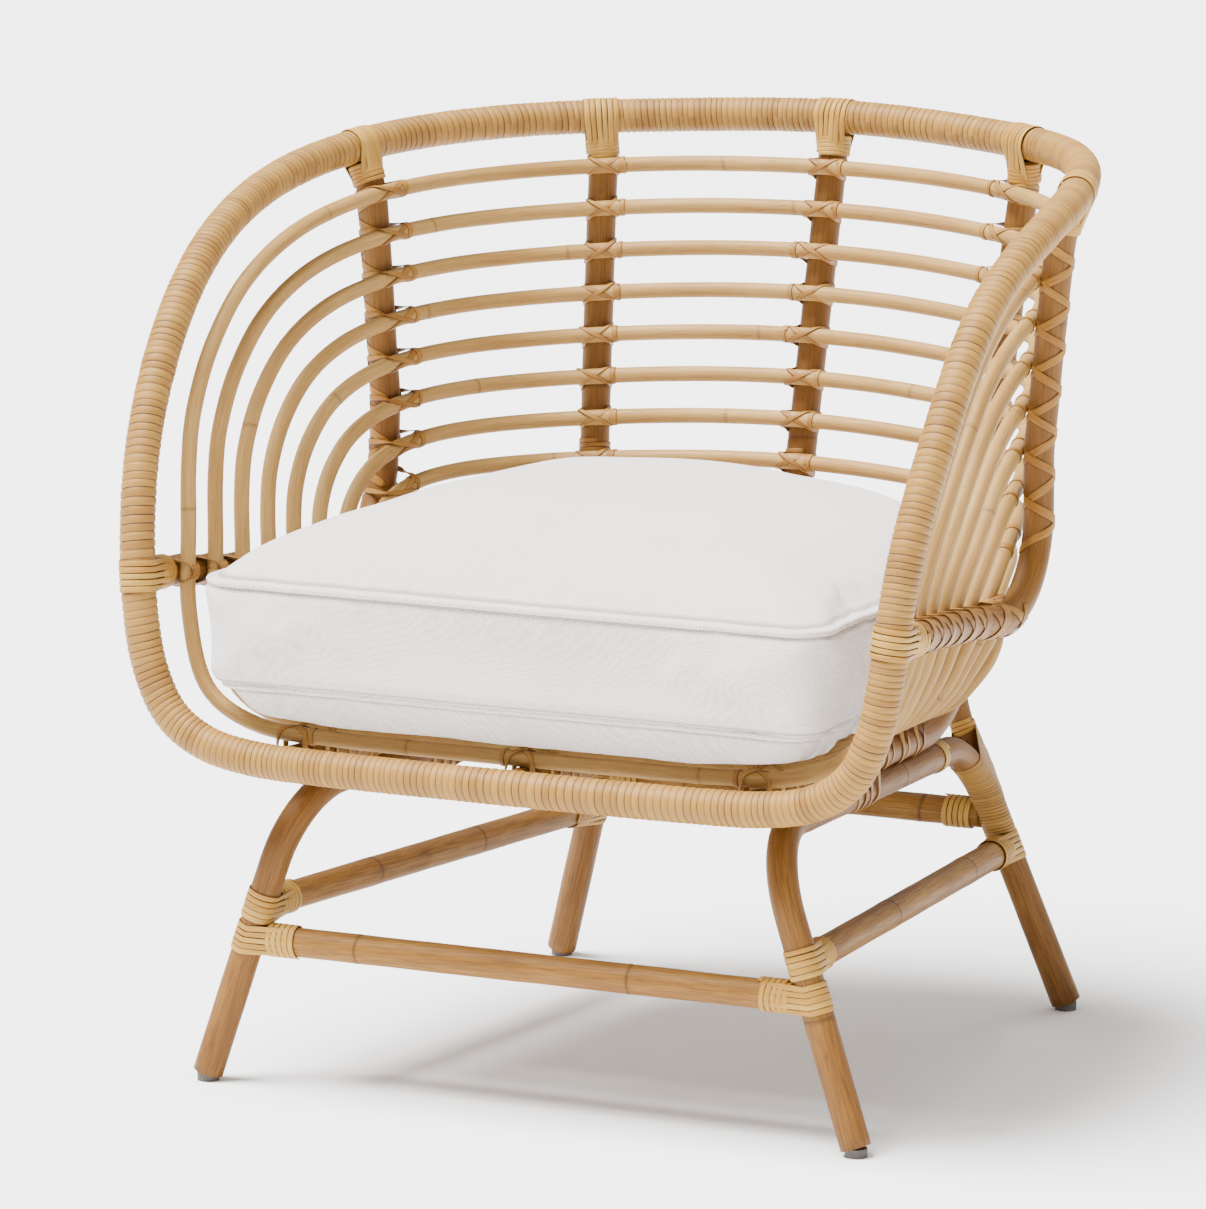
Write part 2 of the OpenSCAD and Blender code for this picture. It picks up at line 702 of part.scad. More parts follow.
// Rings from the underside to the crown: share of the outline, height above the lower seam,
// shift off the outline, and the part of the way from the lower outline to the upper one.
box_height = upper_seam_height - lower_seam_height;
function crown(share, rise) = rise * (1 - pow(share, crown_power));
cushion_levels = concat(
    [for (s = crown_shares) [s, -crown(s, under_bulge), 0, 0]],
    [[1, -piping_half, piping, 0], [1, piping_half, piping, 0], [1, 4 * piping_half, 0, 0]],
    [[1, box_height / 2, -side_draw, 0.5], [1, box_height - 4 * piping_half, 0, 1]],
    [[1, box_height - piping_half, piping, 1], [1, box_height + piping_half, piping, 1]],
    [for (i = [len(crown_shares) - 1:-1:0])
        [crown_shares[i], box_height + crown(crown_shares[i], crown_rise), 0, 1]]
);

module seat_cushion() {
    lower = seam_path(lower_outline);
    upper = seam_path(upper_outline);
    n = len(lower);
    // the lower seam falls with the bars; the upper one is level
    rake = function (y, part) -bar_slope * (y + cushion_front_reach) * (1 - part);
    rest = function (y) outer_bar_height + hoop_r + seat_gap - bar_slope * (y - hoop_front(1));
    place = function (p, height, part)
        [p[0], p[1], max(lower_seam_height + height + rake(p[1], part), rest(p[1]))];
    rings = [
        for (level = cushion_levels, i = [0:n - 1])
            let (out = mix(lower[i], upper[i], level[3]) - cushion_middle)
            place(cushion_middle + out * level[0] + unit(out) * level[2], level[1], level[3])
    ];
    low = place(cushion_middle, -under_bulge, 0);
    top = place(cushion_middle, box_height + crown_rise, 1);
    count = len(cushion_levels);
    skin = skin_faces(count, n, false);
    low_at = len(rings);
    low_fan = [for (k = [0:n - 1]) [low_at, k, (k + 1) % n]];
    top_fan = [for (k = [0:n - 1]) [low_at + 1, (count - 1) * n + (k + 1) % n, (count - 1) * n + k]];
    color("#f1eeea") polyhedron(concat(rings, [low, top]), concat(skin, low_fan, top_fan), 4);
}

rim_pole();
rim_winding();
hoop(1);  // hoop_1
hoop(2);  // hoop_2
hoop(3);  // hoop_3
hoop(4);  // hoop_4
hoop(5);  // hoop_5
hoop(6);  // hoop_6
hoop(7);  // hoop_7
hoop(8);  // hoop_8
hoop(9);  // seat_hoop_9
hoop(10);  // seat_hoop_10
hoop(11);  // seat_hoop_11
post(-1);  // post_left
post(0);  // post_centre
post(1);  // post_right
side_member(-1);  // side_member_left
side_member(1);  // side_member_right
leg_frame(-1);  // leg_frame_left
leg_frame(1);  // leg_frame_right
rear_brace(-1);  // rear_brace_left
rear_brace(1);  // rear_brace_right
front_stretcher();
rear_stretcher();
side_stretcher(-1);  // side_stretcher_left
side_stretcher(1);  // side_stretcher_right
glide(front_foot, -1);  // glide_front_left
glide(front_foot, 1);  // glide_front_right
glide(rear_foot, -1);  // glide_rear_left
glide(rear_foot, 1);  // glide_rear_right
post_binding("post_binding_left", -1);  // post_binding_left
post_binding("post_binding_centre", 0);  // post_binding_centre
post_binding("post_binding_right", 1);  // post_binding_right
front_binding("front_binding_left", -1);  // front_binding_left
front_binding("front_binding_right", 1);  // front_binding_right
rear_binding("rear_binding_left", -1);  // rear_binding_left
rear_binding("rear_binding_right", 1);  // rear_binding_right
side_binding_front("side_binding_front_left", -1);  // side_binding_front_left
side_binding_front("side_binding_front_right", 1);  // side_binding_front_right
side_binding_rear("side_binding_rear_left", -1);  // side_binding_rear_left
side_binding_rear("side_binding_rear_right", 1);  // side_binding_rear_right
seat_cushion();
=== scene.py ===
import math
import bpy
import numpy as np
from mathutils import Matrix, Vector
from mathutils.bvhtree import BVHTree
from mathutils.geometry import convex_hull_2d
from numpy.linalg import norm


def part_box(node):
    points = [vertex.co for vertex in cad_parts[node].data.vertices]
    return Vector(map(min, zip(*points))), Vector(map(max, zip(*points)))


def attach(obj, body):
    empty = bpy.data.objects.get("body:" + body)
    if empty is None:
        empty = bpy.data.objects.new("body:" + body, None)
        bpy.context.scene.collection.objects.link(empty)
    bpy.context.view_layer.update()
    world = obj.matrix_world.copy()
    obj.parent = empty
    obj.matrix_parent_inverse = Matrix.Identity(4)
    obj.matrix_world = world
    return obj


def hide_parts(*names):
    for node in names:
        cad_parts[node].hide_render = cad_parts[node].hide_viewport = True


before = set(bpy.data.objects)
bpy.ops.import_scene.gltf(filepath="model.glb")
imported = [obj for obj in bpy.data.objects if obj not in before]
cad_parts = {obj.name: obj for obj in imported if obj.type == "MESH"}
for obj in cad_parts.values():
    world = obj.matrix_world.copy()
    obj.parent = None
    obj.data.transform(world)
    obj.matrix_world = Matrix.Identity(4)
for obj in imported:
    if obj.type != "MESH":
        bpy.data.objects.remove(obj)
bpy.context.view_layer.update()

mm = 0.001
print("frame loaded,", len(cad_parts), "nodes")


# shader maths: a signal is an output socket that can be added, subtracted and multiplied
class Signal:
    def __init__(self, finish, socket):
        self.finish, self.socket = finish, socket

    def __add__(self, other): return self.finish.maths("ADD", self, other)
    def __radd__(self, other): return self.finish.maths("ADD", other, self)
    def __sub__(self, other): return self.finish.maths("SUBTRACT", self, other)
    def __rsub__(self, other): return self.finish.maths("SUBTRACT", other, self)
    def __mul__(self, other): return self.finish.maths("MULTIPLY", self, other)
    def __rmul__(self, other): return self.finish.maths("MULTIPLY", other, self)


class Finish:
    def __init__(self, name):
        self.material = bpy.data.materials.new(name)
        self.material.use_nodes = True
        self.tree = self.material.node_tree
        self.tree.nodes.clear()

    # any node: its type, its settings first, then the values or links of its sockets
    def node(self, kind, settings=None, inputs=None, out=0):
        made = self.tree.nodes.new(kind)
        for key, value in (settings or {}).items():
            setattr(made, key, value)
        for key, value in (inputs or {}).items():
            if isinstance(value, Signal):
                self.tree.links.new(value.socket, made.inputs[key])
            else:
                made.inputs[key].default_value = value
        return Signal(self, made.outputs[out]) if made.outputs else None

    def maths(self, how, *terms):
        return self.node("ShaderNodeMath", {"operation": how}, dict(enumerate(terms)))

    def field(self, name):
        return self.node("ShaderNodeAttribute", {"attribute_name": name}, out="Vector")

    def part(self, vector, axis):
        return self.node("ShaderNodeSeparateXYZ", inputs={0: vector}, out=axis)

    def join(self, x, y, z):
        return self.node("ShaderNodeCombineXYZ", inputs={0: x, 1: y, 2: z})

    def stretch(self, vector, by):
        return self.node("ShaderNodeVectorMath", {"operation": "MULTIPLY"}, {0: vector, 1: by})

    def noise(self, vector, scale, detail=3.0, rough=0.55):
        inputs = {"Vector": vector, "Scale": scale, "Detail": detail, "Roughness": rough}
        return self.node("ShaderNodeTexNoise", inputs=inputs)

    def chance(self, value):
        return self.node("ShaderNodeTexWhiteNoise", {"noise_dimensions": "1D"}, {"W": value})

    def band(self, value, low, high, first=0.0, last=1.0):
        return self.node("ShaderNodeMapRange", {"interpolation_type": "SMOOTHSTEP"},
                         {0: value, 1: low, 2: high, 3: first, 4: last})

    def mix(self, amount, a, b, how="MIX"):
        a, b = (tone if isinstance(tone, Signal) else (*tone, 1.0) for tone in (a, b))
        return self.node("ShaderNodeMix", {"data_type": "RGBA", "blend_type": how}, {0: amount, 6: a, 7: b}, out=2)

    def bump(self, height, distance, strength):
        return self.node("ShaderNodeBump", inputs={"Height": height, "Distance": distance, "Strength": strength})

    def surface(self, **inputs):
        named = {key.replace("_", " "): value for key, value in inputs.items()}
        shader = self.node("ShaderNodeBsdfPrincipled", inputs=named)
        self.node("ShaderNodeOutputMaterial", inputs={"Surface": shader})
        return self.material


def darker(tone, share):
    return tuple(share * c for c in tone)


# a bump of a given width round zero
def hump(distance, width):
    return np.exp(-(distance / width) ** 2)


# directions at an angle between two square ones
def turned(first, second, angle):
    return first * np.cos(angle)[..., None] + second * np.sin(angle)[..., None]


# how far along a path each of its points lies
def runLength(path):
    return np.concatenate([[0], np.cumsum(norm(np.diff(path, axis=0), axis=1))])


# points or directions between those of a track
def between(s, places, track):
    return np.stack([np.interp(s, places, track[:, i]) for i in range(3)], -1)


# centre lines, read back from the frame's own poles
def unit(v):
    return v / np.maximum(norm(v, axis=-1, keepdims=True), 1e-12)


def readPoints(mesh, key="co"):
    points = np.empty(len(mesh.vertices) * 3)
    mesh.vertices.foreach_get(key, points)
    return points.reshape(-1, 3)


def writePoints(mesh, points):
    mesh.vertices.foreach_set("co", points.ravel())
    mesh.update()


def weld(name):
    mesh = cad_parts[name].data
    points = readPoints(mesh)
    same = np.unique(np.round(points, 5), axis=0, return_index=True, return_inverse=True)
    places = points[same[1]]
    index = same[2].reshape(-1)
    links = [set() for _ in places]
    faces = []
    for face in mesh.polygons:
        corners = [int(index[v]) for v in face.vertices]
        faces.append((corners, np.array(face.normal)))
        for i, corner in enumerate(corners):
            links[corner].add(corners[i - 1])
            links[corners[i - 1]].add(corner)
    return places, links, faces


def ringMiddles(places, links, first, keep=None):
    middles, seen, here = [], set(first), sorted(first)
    while here:
        middles.append(places[here].mean(axis=0))
        ahead = {k for i in here for k in links[i]} - seen
        if keep is not None:
            ahead = {k for k in ahead if keep[k]}
        seen |= ahead
        here = sorted(ahead)
    return np.array(middles)


# one side of a loop is read ring by ring from the front middle, then mirrored
def loopLine(name):
    places, links, _ = weld(name)
    middle = [i for i, p in enumerate(places) if abs(p[0]) < 2e-5]
    first = [i for i in middle if places[i][2] < places[middle][:, 2].mean()]
    half = ringMiddles(places, links, first, places[:, 0] > -2e-5)
    return Line(np.vstack([half, half[-2:0:-1] * (-1, 1, 1)]), closed=True)


# the end of a pole is the one large flat fan of faces
def poleLine(name):
    places, links, faces = weld(name)
    flats = {}
    for corners, normal in faces:
        key = tuple(np.round(normal, 2)) + (round(float(normal @ places[corners[0]]), 4),)
        flats.setdefault(key, set()).update(corners)
    ends = []
    for corners in flats.values():
        # the level feet of one leg frame lie in one plane, so only what is near the first corner counts
        first = places[min(corners)]
        corners = [c for c in corners if norm(places[c] - first) < 50 * mm]
        spread = norm(places[corners] - places[corners].mean(axis=0), axis=1)
        if len(corners) > 7 and spread.max() < 1.7 * spread.min():
            ends.append(corners)
    return Line(ringMiddles(places, links, sorted(max(ends, key=len))))


# a straight bar runs along the longest way of its points, short of its hollowed ends
def barLine(name, spare=6 * mm):
    places, _, _ = weld(name)
    middle = (places.min(axis=0) + places.max(axis=0)) / 2
    way = np.linalg.svd(places - places.mean(axis=0))[2][0]
    reach = (places - middle) @ way
    return Line(np.array([middle + way * (reach.min() + spare), middle + way * (reach.max() - spare)]))


class Line:
    def __init__(self, points, closed=False, step=3 * mm):
        self.closed = closed
        dense = self.smooth(points, closed)
        reach = runLength(dense)
        self.length = reach[-1]
        count = max(int(round(self.length / step)), 8)
        self.places = np.linspace(0, self.length, count + 1)
        self.points = between(self.places, reach, dense)
        self.turnFrames()

    # long straight stretches get points of their own, so that the curve can't swing past them
    @staticmethod
    def smooth(points, closed):
        if closed:
            points = np.vstack([points, points[:1]])
        filled = [points[0]]
        for a, b in zip(points[:-1], points[1:]):
            parts = max(int(norm(b - a) // (24 * mm)), 1) if not closed else 1
            filled += [a + (b - a) * k / parts for k in range(1, parts + 1)]
        p = np.array(filled)
        if closed:
            before, after = np.vstack([p[-2], p[:-1]]), np.vstack([p[2:], p[1:3]])
        else:
            before, after = np.vstack([2 * p[0] - p[1], p[:-1]]), np.vstack([p[2:], 2 * p[-1] - p[-2], p[-1:]])
        curve = []
        for k in range(len(p) - 1):
            a, b, c, d = before[k], p[k], p[k + 1], after[k]
            for t in np.arange(0, 1, 1 / 12):
                curve.append(b + 0.5 * t * (c - a + t * (2 * a - 5 * b + 4 * c - d + t * (3 * (b - c) + d - a))))
        return np.vstack([curve, p[-1:]])

    def turnFrames(self):
        p = self.points
        if self.closed:
            way = unit(np.vstack([p[1:], p[1:2]]) - np.vstack([p[-2:-1], p[:-1]]))
        else:
            way = unit(np.gradient(p, axis=0))
        out = np.zeros_like(p)
        start = np.array([0.0, 0.0, 1.0]) if abs(way[0][2]) < 0.8 else np.array([1.0, 0.0, 0.0])
        out[0] = unit(start - way[0] * (start @ way[0]))
        for i in range(1, len(p)):
            out[i] = unit(out[i - 1] - way[i] * (out[i - 1] @ way[i]))
        if self.closed:
            twist = math.atan2(out[-1] @ np.cross(way[0], out[0]), out[-1] @ out[0])
            out = turned(out, np.cross(way, out), -twist * self.places / self.length)
        self.way, self.out = way, out

    def at(self, s):
        s = np.asarray(s, float)
        s = np.mod(s, self.length) if self.closed else s
        found = [between(s, self.places, track) for track in (self.points, self.way, self.out)]
        if not self.closed:
            past = (s - np.clip(s, 0, self.length))[..., None]
            found[0] = found[0] + found[1] * past
        way = unit(found[1])
        out = unit(found[2] - way * np.sum(found[2] * way, -1, keepdims=True))
        return found[0], way, out, np.cross(way, out)

    def skin(self, s, angle, radius):
        place, _, out, across = self.at(s)
        normal = turned(out, across, np.asarray(angle))
        return place + normal * np.asarray(radius)[..., None], normal


# meshes
def makeMesh(name, points, faces, fields):
    mesh = bpy.data.meshes.new(name)
    mesh.from_pydata(points.tolist(), [], faces)
    mesh.polygons.foreach_set("use_smooth", [True] * len(mesh.polygons))
    for key, values in fields.items():
        layer = mesh.attributes.new(key, "FLOAT_VECTOR", "POINT")
        layer.data.foreach_set("vector", np.asarray(values, np.float32).ravel())
    mesh.update()
    return mesh


def gridFaces(rows, sides, closed, start=0):
    count = rows if closed else rows - 1
    i, k = np.meshgrid(np.arange(count), np.arange(sides), indexing="ij")
    nextRow, nextSide = (i + 1) % rows, (k + 1) % sides
    quads = np.stack([i * sides + k, i * sides + nextSide, nextRow * sides + nextSide, nextRow * sides + k], -1)
    return (quads.reshape(-1, 4) + start).tolist()


def place(name, mesh, finish, body, slot, nodes=()):
    piece = bpy.data.objects.new(name, mesh)
    bpy.context.scene.collection.objects.link(piece)
    mesh.materials.clear()
    mesh.materials.append(finish)
    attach(piece, body)
    if nodes:
        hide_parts(*nodes)
    return piece


# a round pole with growth rings, its grain field running along it
def makePole(name, line, radius, finish, slot, nodes, seed, sides=20, spacing=330 * mm, ring=8 * mm):
    dice = np.random.default_rng(seed)
    rows = max(int(line.length / ring), 6) + (0 if line.closed else 1)
    s = np.linspace(0, line.length, rows, endpoint=not line.closed)
    knots = []
    spot = dice.uniform(0.2, 0.8) * spacing
    while spot < line.length - 20 * mm:
        knots.append(spot)
        spot += spacing * dice.uniform(0.75, 1.3)
    # rings are added round each growth mark
    extra = np.concatenate([k + np.array([-9, -5, -2.5, -1, 0, 1, 2.5, 5, 9]) * mm for k in knots]) if knots else []
    s = np.unique(np.concatenate([s, np.clip(extra, 0, line.length * 0.9999)]))
    s = s[np.concatenate([[True], np.diff(s) > 0.4 * mm])]
    angle = np.arange(sides) * 2 * math.pi / sides
    sGrid, aGrid = np.meshgrid(s, angle, indexing="ij")
    mark = np.zeros_like(sGrid)
    swell = np.ones_like(sGrid)
    for k in knots:
        lean, side = dice.uniform(-1.6, 1.6) * mm, dice.uniform(0, 6.28)
        off = sGrid - k - lean * np.cos(aGrid - side)
        swell += 0.022 * hump(off, 7 * mm) - 0.03 * hump(off - 1 * mm, 0.9 * mm)
        mark = np.maximum(mark, hump(off - 0.8 * mm, 1.3 * mm))
    waver = 0.006 * np.sin(sGrid * 38 + seed) + 0.004 * np.sin(sGrid * 91 + 2 * aGrid + seed)
    reach = radius * (swell + waver - 0.006)
    points, _ = line.skin(sGrid, aGrid, reach)
    grain = np.stack([radius * np.cos(aGrid), radius * np.sin(aGrid), sGrid + seed * 1.7], -1)
    marks = np.stack([mark, sGrid / line.length, aGrid], -1)
    faces = gridFaces(len(s), sides, line.closed)
    points, grain, marks = points.reshape(-1, 3), grain.reshape(-1, 3), marks.reshape(-1, 3)
    if not line.closed:
        last = (len(s) - 1) * sides
        faces += [list(range(sides))[::-1], list(range(last, last + sides))]
    mesh = makeMesh(name, points, faces, {"grain": grain, "marks": marks})
    return place(name, mesh, finish, "frame", slot, nodes)


# flat peel strips; each is a path on a surface with the normals of that surface
class Strips:
    section = np.array([(-1, 0.1), (-0.86, 0.72), (-0.4, 0.97), (0.4, 0.97),
                        (0.86, 0.72), (1, 0.1), (0.6, -0.3), (-0.6, -0.3)])

    def __init__(self, name, seed):
        self.name, self.dice = name, np.random.default_rng(seed)
        self.points, self.faces, self.fields, self.count = [], [], [], 0

    def add(self, path, normals, width=5.6 * mm, thick=0.9 * mm, closed=False, lift=0.0, taper=False):
        ahead = np.roll(path, -1, 0) - np.roll(path, 1, 0) if closed else np.gradient(path, axis=0)
        way = unit(ahead)
        normal = unit(normals - way * np.sum(normals * way, 1, keepdims=True))
        side = np.cross(way, normal)
        rows, sides = len(path), len(self.section)
        span = runLength(path)
        wide = np.full(rows, width / 2) * (1 + 0.05 * np.sin(span * 90 + self.count))
        if taper:
            wide = wide * np.clip(np.minimum(span, span[-1] - span) / (6 * mm) + 0.5, 0, 1)
        x = self.section[:, 0][None, :, None] * wide[:, None, None]
        y = self.section[:, 1][None, :, None] * thick + lift
        grid = path[:, None] + side[:, None] * x + normal[:, None] * y
        start = sum(len(p) for p in self.points)
        self.faces += gridFaces(rows, sides, closed, start)
        if not closed:
            last = start + (rows - 1) * sides
            self.faces += [list(range(start, start + sides))[::-1], list(range(last, last + sides))]
        field = np.zeros((rows, sides, 3))
        field[..., 0] = self.section[:, 0][None]
        field[..., 1] = span[:, None]
        field[..., 2] = self.dice.uniform(0, 100)
        self.points.append(grid.reshape(-1, 3))
        self.fields.append(field.reshape(-1, 3))
        self.count += 1

    def make(self, finish, slot, nodes=()):
        mesh = makeMesh(self.name, np.vstack(self.points), self.faces, {"strand": np.vstack(self.fields)})
        return place(self.name, mesh, finish, "frame", slot, nodes)


# turns wound round a pole, side by side
def wind(strips, line, start, turns, pitch, radius, phase, **kind):
    t = np.linspace(0, turns, max(int(turns * 26), 8))
    path, normal = line.skin(start + t * pitch, phase + t * 2 * math.pi, np.full(len(t), radius))
    strips.add(path, normal, **kind)


# a loop drawn tight round two crossing poles, in a plane that leans between them
def crossLoop(strips, a, aWay, aRadius, b, bWay, bRadius, lean, step=2.6 * mm, **kind):
    out = b - a
    gap = norm(out)
    out = out / gap
    first = unit(bWay - out * (bWay @ out))
    second = np.cross(out, first)
    if second @ aWay < 0:
        second = -second
    along = math.cos(lean) * first + math.sin(lean) * second
    corner = unit(aWay - out * (aWay @ out))
    turn = np.linspace(0, 2 * math.pi, 60, endpoint=False)
    rims, normals = [], []
    for centre, axis, radius in ((0.0, corner, aRadius), (gap, first, bRadius)):
        wide = radius / max(math.sqrt(1 - (along @ axis) ** 2), 0.2)
        flat = np.stack([wide * np.cos(turn), centre + radius * np.sin(turn)], 1)
        rims.append(flat)
        away = flat[:, :1] * along + (flat[:, 1:] - centre) * out
        normals.append(unit(away - (away @ axis)[:, None] * axis))
    flat, normal = np.vstack(rims), np.vstack(normals)
    order = convex_hull_2d([tuple(p) for p in flat])
    hull, normal = flat[order], normal[order]
    hull, normal = np.vstack([hull, hull[:1]]), np.vstack([normal, normal[:1]])
    reach = runLength(hull)
    s = np.linspace(0, reach[-1], int(reach[-1] / step), endpoint=False)
    x, y = np.interp(s, reach, hull[:, 0]), np.interp(s, reach, hull[:, 1])
    normal = between(s, reach, normal)
    path = a + x[:, None] * along + y[:, None] * out
    strips.add(path, normal, closed=True, **kind)


# where two lines pass each other closer than a limit
def crossings(one, other, limit=24 * mm):
    apart = norm(one.points[:, None] - other.points[None], axis=2)
    near, which = apart.min(axis=1), apart.argmin(axis=1)
    found = []
    for i in range(1, len(near) - 1):
        if near[i] < limit and near[i] <= near[i - 1] and near[i] < near[i + 1]:
            k = which[i]
            found.append((one.places[i], one.points[i], one.way[i], other.places[k], other.points[k], other.way[k]))
    return found


# finishes
# cane poles: long pale fibres, short dark pores, browner growth marks
def caneFinish(name, pale, deep, dark, bloom, marked):
    f = Finish(name)
    grain, marks = f.field("grain"), f.field("marks")
    fibres = f.noise(f.stretch(grain, (1, 1, 0.035)), 900.0, 4.0, 0.6)
    broad = f.noise(f.stretch(grain, (1, 1, 0.12)), 55.0, 3.0)
    drift = f.noise(f.stretch(grain, (0.3, 0.3, 1)), 7.0, 2.0)
    pores = f.noise(f.stretch(grain, (1, 1, 0.07)), 1500.0, 2.0, 0.7)
    speck = f.band(pores, 0.66, 0.74)
    knot = f.part(marks, 0)
    toned = f.mix(f.band(broad * 0.6 + drift * 0.5, 0.35, 0.75), pale, deep)
    toned = f.mix(f.band(fibres, 0.35, 0.7, 0.0, bloom), toned, dark)
    toned = f.mix(speck * 0.45, toned, dark, "MULTIPLY")
    smudge = f.band(f.noise(f.stretch(grain, (1, 1, 0.4)), 60.0, 4.0, 0.7), 0.60, 0.75) * marked
    toned = f.mix(smudge * 0.6, toned, dark)
    toned = f.mix(knot * marked, toned, darker(dark, 0.45))
    rough = 0.44 + fibres * 0.12 + drift * 0.06
    normal = f.bump(fibres * 0.7 - speck * 0.8 + broad * 0.5, 0.00035, 0.7)
    return f.surface(Base_Color=toned, Roughness=rough, Normal=normal, Specular_IOR_Level=0.22)


# peel wound on the rim: every turn its own tone, fine fibres along it, and painted shade: the slits between turns are
# darkened almost to black
def windingFinish(name, pale, deep, dark, slitShade):
    f = Finish(name)
    strand = f.field("strand")
    turn, off, run = f.part(strand, 0), f.part(strand, 1), f.part(strand, 2)
    each = f.chance(f.maths("FLOOR", turn))
    slow = f.noise(f.join(turn * 0.13, 0.0, 0.0), 1.0, 2.0)
    patch = f.noise(f.join(turn * 0.9, run * 26.0, 0.0), 1.0, 3.0)
    fibres = f.noise(f.join(off * 9.0, run * 40.0, turn * 2.0), 1.6, 4.0, 0.65)
    toned = f.mix(f.band(slow * 0.75 + each * 0.3, 0.35, 0.8), pale, deep)
    toned = f.mix(f.band(patch, 0.52, 0.8, 0.0, 0.45), toned, dark)
    toned = f.mix(f.band(fibres, 0.45, 0.75, 0.0, 0.3), toned, dark)
    # painted shade: a near-black band at the edges of each turn, where shade falls in the slit between turns
    edge = f.band(off, 0.41, 0.47) * f.band(patch * 0.6 + each * 0.6, 0.3, 0.75, 0.35, 1.0)
    stain = f.band(f.noise(f.join(turn * 0.5, run * 90.0, 3.0), 1.0, 2.0), 0.68, 0.76)
    toned = f.mix(stain * 0.5, toned, dark)
    toned = f.mix(edge, toned, slitShade)
    normal = f.bump(fibres - edge * 0.9, 0.0005, 0.6)
    return f.surface(Base_Color=toned, Roughness=0.42 + fibres * 0.16, Normal=normal, Specular_IOR_Level=0.3)


# separate peel strips of the bindings, with painted shade along each strip's side edges
def stripFinish(name, pale, deep, dark):
    f = Finish(name)
    strand = f.field("strand")
    across, run, own = f.part(strand, 0), f.part(strand, 1), f.part(strand, 2)
    each = f.chance(own)
    fibres = f.noise(f.join(across * 1.6, run * 25.0, own), 2.6, 4.0, 0.6)
    patch = f.noise(f.join(across * 0.3, run * 30.0, own), 1.0, 2.0)
    toned = f.mix(f.band(each * 0.6 + patch * 0.5, 0.25, 0.8), pale, deep)
    toned = f.mix(f.band(fibres, 0.42, 0.72, 0.0, 0.5), toned, dark)
    # painted shade: the side edges of each strip are darkened where shade falls between neighbouring strips
    rim = f.band(f.maths("ABSOLUTE", across), 0.80, 0.95)
    toned = f.mix(rim * 0.85, toned, darker(dark, 0.6))
    normal = f.bump(fibres, 0.0003, 0.6)
    return f.surface(Base_Color=toned, Roughness=0.44 + fibres * 0.15, Normal=normal, Specular_IOR_Level=0.25)


# twill cover: fine diagonal ribs with slightly uneven threads, and painted shade in a crease beside each seam
def twillFinish(name, white, shadowed, seams):
    f = Finish(name)
    where = f.node("ShaderNodeTexCoord", out="Object")
    x, y, z = f.part(where, 0), f.part(where, 1), f.part(where, 2)
    thread = f.noise(where, 260.0, 2.0)
    slub = f.noise(f.stretch(where, (1, 0.12, 1)), 210.0, 3.0)
    ribs = f.maths("SINE", (x * 0.78 + y * 0.62 + z * 0.9) * 2500.0 + thread * 3.0)
    weft = f.maths("SINE", (x * 0.62 - y * 0.78 + z * 0.3) * 3900.0 + slub * 2.0)
    cloud = f.noise(where, 9.0, 3.0)
    toned = f.mix(f.band(ribs * 0.5 + weft * 0.2, -0.6, 0.6), shadowed, white)
    toned = f.mix(f.band(cloud, 0.4, 0.75, 0.0, 0.35), toned, shadowed)
    relief = ribs * 0.6 + weft * 0.3 + slub * 0.6
    # painted shade: a narrow dark band on the cover just beside each piping seam, standing in for the shadow in the
    # crease there
    for height, slope in seams:
        off = f.maths("ABSOLUTE", z - y * slope - height)
        crease = f.band(off, 0.0024, 0.0032) * f.band(off, 0.0036, 0.0068, 1.0, 0.0)
        toned = f.mix(crease * 0.75, toned, darker(shadowed, 0.42))
        relief = relief - crease * 1.5
    normal = f.bump(relief, 0.0005, 0.8)
    return f.surface(Base_Color=toned, Roughness=0.86 + slub * 0.1, Normal=normal,
                     Sheen_Weight=0.25, Sheen_Roughness=0.5)


def glideFinish(name, base, scuffed):
    f = Finish(name)
    where = f.node("ShaderNodeTexCoord", out="Object")
    mottle = f.noise(where, 300.0, 4.0)
    toned = f.mix(f.band(mottle, 0.45, 0.7), base, scuffed)
    return f.surface(Base_Color=toned, Roughness=0.5 + mottle * 0.2, Normal=f.bump(mottle, 0.0002, 0.4))


rodCane = caneFinish("rod_cane", (0.414, 0.251, 0.078), (0.317, 0.174, 0.045), (0.176, 0.078, 0.014), 0.4, 0.5)
postCane = caneFinish("post_cane", (0.216, 0.099, 0.017), (0.160, 0.065, 0.009), (0.080, 0.026, 0.003), 0.5, 0.5)
legCane = caneFinish("leg_cane", (0.230, 0.102, 0.018), (0.144, 0.057, 0.008), (0.064, 0.020, 0.003), 0.65, 0.7)
barCane = caneFinish("bar_cane", (0.305, 0.146, 0.026), (0.190, 0.081, 0.011), (0.085, 0.030, 0.004), 0.65, 0.7)
# the last tone of the wound peel is the painted shade in the slits between turns
peelWound = windingFinish("wound_peel", (0.331, 0.173, 0.030), (0.247, 0.113, 0.016), (0.150, 0.057, 0.007),
                          (0.040, 0.013, 0.003))
peelStrip = stripFinish("peel_strip", (0.340, 0.176, 0.036), (0.255, 0.112, 0.019), (0.111, 0.033, 0.004))
memberPeel = stripFinish("member_peel", (0.299, 0.140, 0.020), (0.232, 0.097, 0.012), (0.107, 0.034, 0.004))
peelJoint = stripFinish("joint_peel", (0.454, 0.267, 0.051), (0.367, 0.178, 0.024), (0.175, 0.067, 0.007))
glideGrey = glideFinish("glide_grey", (0.075, 0.062, 0.053), (0.105, 0.09, 0.078))
print("finishes made")


# rim
rimSizes = {"pole": 13 * mm, "peel": 1.4 * mm, "pitch": 5.7 * mm, "sides": 26}
rimLine = loopLine("rim_pole")
makePole("rim_core", rimLine, rimSizes["pole"], postCane, "post_cane", ["rim_pole"], 11, ring=12 * mm)


